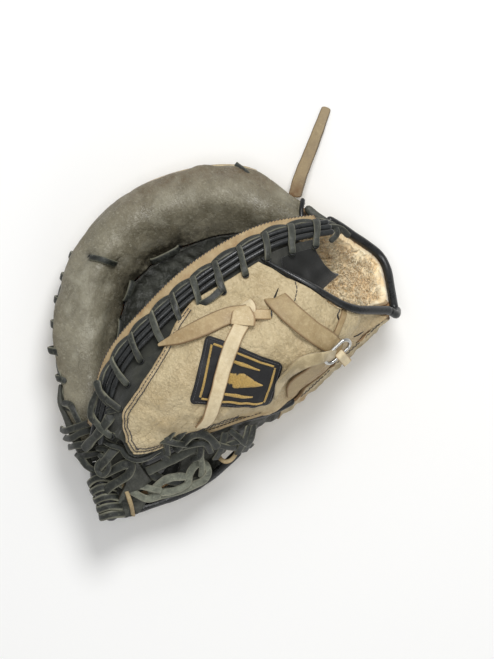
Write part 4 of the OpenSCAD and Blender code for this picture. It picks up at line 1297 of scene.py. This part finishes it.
def straps():
    seed = 240
    for name, materials, node, bands in STRAPS:
        build = Build()
        for places, width, thick, rings, more in bands:
            path, ups = on_thumb(*np.array(places, float).T)
            half = [w / 2 for w in width] if np.ndim(width) else width / 2
            sweep(build, path, half, thick / 2, ups, rings, 16, 5, seed=seed, **{"waver": 0.05, **more})
            seed += 1
        attach(build.make(name, *materials), "strap_leather", node)

    # Dark strips of painted shade in the slits of the panel, where the straps and the knot's ends go through.
    slit = Build()
    for first, last in SLITS:
        points, outs = on_thumb(*np.linspace(first, last, 3).T, 0.15)
        sweep(slit, points, [0.4, 0.9, 0.4], 0.5, outs, 20, 8, shade=1.0, edge=0)
    attach(slit.make("thumb_back_slit_shade", BLACK), "lace")


RING_PLACE = np.array((-102.0, -79.0, 111.0))
RING_SLOPE, RING_YAW = math.radians(48), math.radians(6)
RING_ACROSS = np.array((-math.sin(RING_YAW), math.cos(RING_YAW), 0))
RING_ALONG = np.cross(RING_ACROSS, (0, 0, 1)) * math.cos(RING_SLOPE) + (0, 0, math.sin(RING_SLOPE))
RING_BEND_R = 6.0


def ring_tab():
    out = np.cross(RING_ALONG, RING_ACROSS)
    hold = RING_PLACE - RING_ALONG * RING_BEND_R
    build = Build()
    q = np.radians([-120, -60, 0, 60, 120])
    round_ring = [RING_ALONG * math.cos(a) * 2.9 + out * math.sin(a) * 2.9 for a in q]
    loop = [RING_ALONG * -12 - out, RING_ALONG * -6 - out * 1.6, *round_ring,
            RING_ALONG * -6 + out * 1.6, RING_ALONG * -13 + out * 1.2]
    ups = [-out] * 2 + [unit(c) for c in round_ring] + [out] * 2
    sweep(build, hold + loop, 4.4, 0.75, ups, 60, 14, 5, wear=0.5)
    attach(build.make("ring_tab_loop", PALE_STRAP), "strap_leather", "ring_tab", body="thumb_side")


# ---------------------------------------------------------------- web

# The line of the bar that the web is bound round.
WEB_TOP = points_of((-57, 152, 60), (-71, 156, 63), (-87, 161, 63), (-101, 166, 60))
BAR_TURNS = 5


def web():
    inner = on(PALM, mix(2.2, 5.9, np.linspace(0, 1, 6)), 0.985, -1) + (-3.5, 5, 0)

    def lift(u, v, p):
        return 0.6 * ripple(p, 14, 251) - 0.5 * creased(p, 10, 252)

    def marks(u, v, p):
        return {"wear": 0.5 * smooth(ripple(p, 12, 253), 0.2, 1.5)}

    build = sheet([inner, spline(WEB_TOP, np.linspace(0, 1, 6))], 0, 1, 0, 1, 0, LEATHER_T, 90, 40, lift, marks)
    flap = [[(-84, 145, 62), (-92, 152, 60), (-105, 163, 55)],
            [(-94, 139, 60), (-102, 144, 57), (-111, 153, 51)],
            [(-106, 129, 57), (-110, 136, 52), (-112, 147, 49)]]
    sheet(flap, 0, 2, 0, 1, 0, 2.6, 40, 30, lift, marks, build)
    edge = [(19, 134, 52), (8, 142, 53), (-7, 146, 55), (-19, 149, 57), (-35, 152, 59), (-50, 155, 60)]
    within = [(22, 118, 46), (6, 124, 49), (-8, 130, 51), (-22, 134, 53), (-38, 138, 54), (-54, 144, 56)]
    sheet([edge, within], 0, 1, 0, 1, 0, 2.4, 40, 16, lift, marks, build)
    slope = [[(-22, 134, 60), (-34, 136, 62), (-50, 142, 62), (-60, 146, 62)],
             [(-30, 112, 76), (-44, 116, 76), (-58, 122, 74), (-70, 130, 70)]]
    sheet(slope, 0, 1, 0, 1, 0, 2.4, 30, 24, lift, marks, build)
    attach(build.make("web_leather", CHARCOAL), "dark_leather", "web_panel")

    # A dark sheet of painted shade under the web, where the gap beneath it lies in shadow; its shade mark darkens its
    # middle further.
    web_shade_net = [
        points_of((-103, 160, 50), (-111, 143, 43), (-117, 120, 41), (-122, 98, 41), (-123, 78, 43), (-120, 58, 47)),
        points_of((-80, 150, 46), (-90, 136, 39), (-98, 116, 36), (-104, 96, 36), (-108, 78, 38), (-108, 58, 42)),
        points_of((-52, 140, 48), (-62, 126, 42), (-70, 108, 38), (-78, 92, 38), (-86, 76, 40), (-90, 58, 44)),
    ]
    build = sheet(web_shade_net, 0, 2, 0, 1, 0, 2.0, 70, 40, lift, lambda u, v, p: {"shade": 0.6 * bell(u, 1.2, 0.9)})
    attach(build.make("web_shade_sheet", CHARCOAL), "dark_leather")

    bar = Build()
    sweep(bar, spline(WEB_TOP, np.linspace(0, 0.9, 5)), [5, 7.6, 8.8, 8.8, 7.6], [5, 7, 7.4, 7, 6], (0, 0, 1), 60, 20,
          seed=255)
    sweep(bar, edge, [1.6, 2.6, 3.2, 3.8, 4.4, 4.6], [1.6, 2.4, 2.8, 3.4, 4.0, 4.0], (0, 0, 1), 90, 14, waver=0.06,
          seed=254, slot=1)
    attach(bar.make("web_bar_roll", BLACK, CHARCOAL), "binding", "web_bar")
    wraps = Build()
    t = np.linspace(0.2, 1, 150)
    centre = spline(WEB_TOP, t)
    way = unit(np.gradient(centre, axis=0))
    side = unit(np.cross(way, (0, 0, 1)))
    up = np.cross(side, way)
    q = 2 * math.pi * (BAR_TURNS * np.linspace(0, 1, 150) - 0.25)
    out = side * np.cos(q)[:, None] + up * np.sin(q)[:, None]
    across, rise, lag = (x[:, None] for x in (np.cos(q) * 10.2, np.sin(q) * 8.8, 1.6 * np.cos(2 * q)))
    path = centre + side * across + up * rise + way * lag
    lace(wraps, path, out, 6.8, 2.4, 300, seed=256, pale=(0.6, 0.9), waver=0.2)
    attach(wraps.make("web_bar_winding", LACE), "lace", "web_bar_lace")


def web_laces():
    """The laces that tie the web to both sides, their knots and their free ends, each a width and a route."""
    ties = [
        # over the end of the rim
        (6.5, [(1, 103, 113), (-8, 106, 113), (-17, 106, 109), (-24, 104, 106)]),
        (5.5, [(-4, 105, 106), (-11, 118, 102), (-20, 126, 99), (-30, 124, 98)]),
        (8, [(-27, 106, 104), (-31, 116, 106), (-34, 126, 102), (-36, 136, 94), (-38, 148, 80)]),
        (6.5, [(-26, 101, 108), (-28, 95, 113), (-33, 91, 112), (-38, 90, 106)]),
        (5.5, [(-25, 110, 107), (-28, 103, 109), (-33, 105, 106), (-40, 107, 100)]),
        # round the web's left edge
        (6, [(-12, 156, 50), (-15, 154, 58), (-17, 149, 65), (-20, 140, 70), (-23, 131, 71), (-25, 128, 62)]),
        (6, [(-20, 158, 50), (-22, 156, 58), (-24, 152, 65), (-25, 144, 70), (-28, 135, 71), (-30, 132, 62)]),
        (6, [(-29, 160, 50), (-30, 158, 58), (-31, 154, 65), (-34, 148, 70), (-37, 140, 71), (-39, 137, 62)]),
        (5.5, [(5, 140, 58), (0, 136, 65), (-8, 137, 68), (-18, 139, 68), (-24, 141, 64)]),
        (6, [(-38, 158, 56), (-43, 156, 68), (-52, 156, 69), (-60, 152, 66), (-62, 144, 62)]),
        (5.5, [(-40, 156, 64), (-44, 150, 72), (-48, 142, 72), (-50, 136, 66)]),
        # the middle knot
        (5, [(-45, 138, 84), (-51, 133, 87), (-55, 138, 88), (-56, 146, 86), (-60, 150, 84), (-66, 149, 84),
             (-65, 142, 86), (-59, 138, 90), (-51, 140, 86)]),
        (8, [(-52, 112, 86), (-54, 122, 90), (-55, 130, 92), (-57, 138, 92), (-59, 147, 84)]),
        (8, [(-66, 148, 74), (-68, 138, 84), (-70, 128, 88), (-74, 124, 87), (-79, 130, 84), (-79, 140, 80),
             (-78, 150, 76), (-79, 158, 70)]),
        (6, [(-84, 130, 68), (-86, 125, 70), (-84, 119, 70), (-80, 115, 74)]),
        # the knot under the panel's tip, with its two ends
        (6.5, [(-88, 96, 84), (-82, 96, 91), (-75, 93, 96), (-69, 90, 101), (-66, 84, 105), (-70, 79, 107)]),
        (5.5, [(-66, 78, 102), (-72, 82, 108), (-78, 87, 107), (-85, 92, 96)]),
        (6.5, [(-68, 92, 102), (-74, 86, 108), (-82, 80, 107), (-88, 74, 100)]),
        (5.5, [(-78, 88, 104), (-75, 83, 108), (-72, 75, 110), (-71, 66, 109)]),
        (5.5, [(-80, 82, 102), (-79, 74, 107), (-77, 66, 109), (-75, 59, 108)]),
        # the folded strap beside it
        (8, [(-86, 84, 94), (-85, 73, 103), (-85, 64, 107), (-89, 57, 106), (-97, 54, 102), (-106, 54, 92)]),
        (5.5, [(-88, 80, 92), (-92, 68, 99), (-98, 60, 99), (-106, 61, 90)]),
        (7, [(-86, 118, 70), (-98, 112, 66), (-112, 100, 62), (-120, 88, 58)]),
    ]
    dark = Build()
    lace_all(dark, ties, (0.1, 0.1, 1), 2.8, 40, 260)
    roll = [(-36, 130, 90), (-44, 129, 92), (-50, 126, 94), (-57, 121, 95), (-65, 121, 95), (-73, 116, 95),
            (-77, 107, 94), (-78, 96, 93), (-81, 84, 92)]
    sweep(dark, roll, [2.2, 2.8, 3.0, 3.0, 2.4], 2.6, (0, 0, 1), 90, 12, waver=0.08, seed=259)
    attach(dark.make("web_tie_laces", LACE), "lace", "web_knots")

    links = [
        (7, [(-78, 142, 62), (-84, 141, 66), (-93, 138, 66), (-106, 132, 62), (-110, 122, 62)]),
        (6, [(-80, 134, 62), (-88, 133, 68), (-99, 125, 67), (-107, 118, 64)]),
        (7, [(-104, 126, 60), (-102, 114, 67), (-104, 103, 70), (-112, 92, 68), (-117, 96, 64), (-115, 108, 62),
             (-109, 119, 61)]),
        (6.5, [(-106, 131, 57), (-112, 120, 58), (-118, 107, 60), (-121, 93, 61), (-123, 84, 60)]),
        (6.5, [(-118, 95, 63), (-111, 88, 69), (-108, 79, 72), (-112, 72, 72), (-120, 74, 70), (-123, 82, 66),
               (-121, 92, 62)]),
        (5.5, [(-100, 67, 84), (-105, 71, 81), (-112, 75, 75), (-119, 81, 66)]),
    ]
    chain = Build()
    lace_all(chain, links, (0, 0, 1), 2.6, 50, 290, wear=0.35)
    outer = [(-106, 156, 46), (-110, 143, 44), (-117, 122, 44), (-123, 100, 44), (-125, 78, 46), (-124, 60, 50),
             (-122, 44, 55)]
    sweep(chain, outer, 3.6, 2.8, (0, 0, 1), 90, 12, 3, waver=0.1, seed=295, slot=1)
    attach(chain.make("web_plaited_lace", GREY_LACE, BLACK), "lace_grey", "plaited_lace")

    cut_end = Build()
    lace(cut_end, [(-100, 66, 84), (-96, 70, 86), (-93, 85, 83), (-90, 101, 80), (-87, 116, 77)], (-0.1, 0, 1), 8,
         2.5, 50, seed=297, cut=(False, True), wear=0.4)
    lace(cut_end, [(-102, 78, 82), (-103, 71, 90), (-98, 66, 93), (-93, 65, 91), (-90, 70, 84)], (0, 0, 1), 6, 2.3, 30,
         seed=299)
    attach(cut_end.make("web_cut_tie_end", LACE), "lace", "tie_end")

    strip = Build()
    lace(strip, [(-80, 141, 62), (-86, 141, 69), (-94, 143, 68), (-104, 147, 60), (-111, 151, 50)], (0, 0, 1), 4, 1.8,
         30, seed=298)
    attach(strip.make("web_tan_strip", STRAP), "strap_leather")


def panel_laces():
    """The crossed laces of the dark panel under the web end of the thumb, with a tan loop."""
    crossed = [
        (6, [(-101, 42, 92), (-106, 48, 89), (-111, 55, 82), (-114, 62, 72)]),
        (6, [(-98, 56, 91), (-108, 50, 88), (-115, 44, 80), (-119, 38, 70)]),
        (5.5, [(-108, 50, 82), (-112, 40, 87), (-115, 32, 85), (-116, 23, 80)]),
        (6, [(-108, 22, 93), (-114, 29, 88), (-118, 36, 80), (-122, 44, 68)]),
        (6, [(-111, 18, 90), (-117, 25, 86), (-121, 31, 78), (-124, 38, 66)]),
        (6, [(-102, 36, 93), (-111, 34, 90), (-118, 33, 82), (-124, 30, 70)]),
    ]
    laces, tan = Build(), Build()
    lace_all(laces, crossed, (-0.7, 0, 1), 2.2, 26, 300, waver=0.16)
    attach(laces.make("spine_panel_laces", LACE), "lace")
    lace(tan, [(-112, 60, 62), (-116, 59, 66), (-121, 57, 68), (-123, 52, 68), (-121, 45, 66), (-116, 41, 62)],
         (0, 0, 1), 4, 2, 30, seed=310)
    attach(tan.make("spine_panel_tan_loop", LIP), "strap_leather")

    welt = Build()
    edge = [(-86, 62, 97), (-92, 46, 95), (-98, 27, 93), (-104, 10, 91), (-109, -3, 88)]
    line = sweep(welt, edge, 2.4, 2.2, (0, 0, 1), 70, 12, waver=0.05, seed=311, stain=0.2)
    attach(welt.make("thumb_back_lower_welt", LIP), "tan_leather")
    sewing = Build()
    stitches(sewing, line + (0.6, 0.4, 2.0), (0, 0, 1), 3.4, 2.2, 0.4)
    attach(sewing.make("thumb_back_welt_stitching", DARK_THREAD), "lace")


def keep_ring():
    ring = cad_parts["strap_ring"]
    ring.data.materials.clear()
    ring.data.materials.append(STEEL)
    ring.data.polygons.foreach_set("use_smooth", np.ones(len(ring.data.polygons), bool))


add_camera()
heel_tail()
add_studio()
finger_shell()
linings()
crescent()
crescent_ties()
palm()
finger_rim_binding()
heel()
fleece()
pipings()
loop_band("little_finger_loop_band", np.array((20.0, -34, 13)), (0.15, 1, 0), 6.2, 5, "little_finger_loop")
back_panels()
thumb_back()
thumb_rim_trim()
seam_roll()
heel_flap()
patch()
straps()
ring_tab()
loop_band("thumb_loop_band", np.array((-56.0, 14, 118)), (0.1, 1, 0), 7.7, 6, "thumb_loop")
web()
web_laces()
panel_laces()
keep_ring()
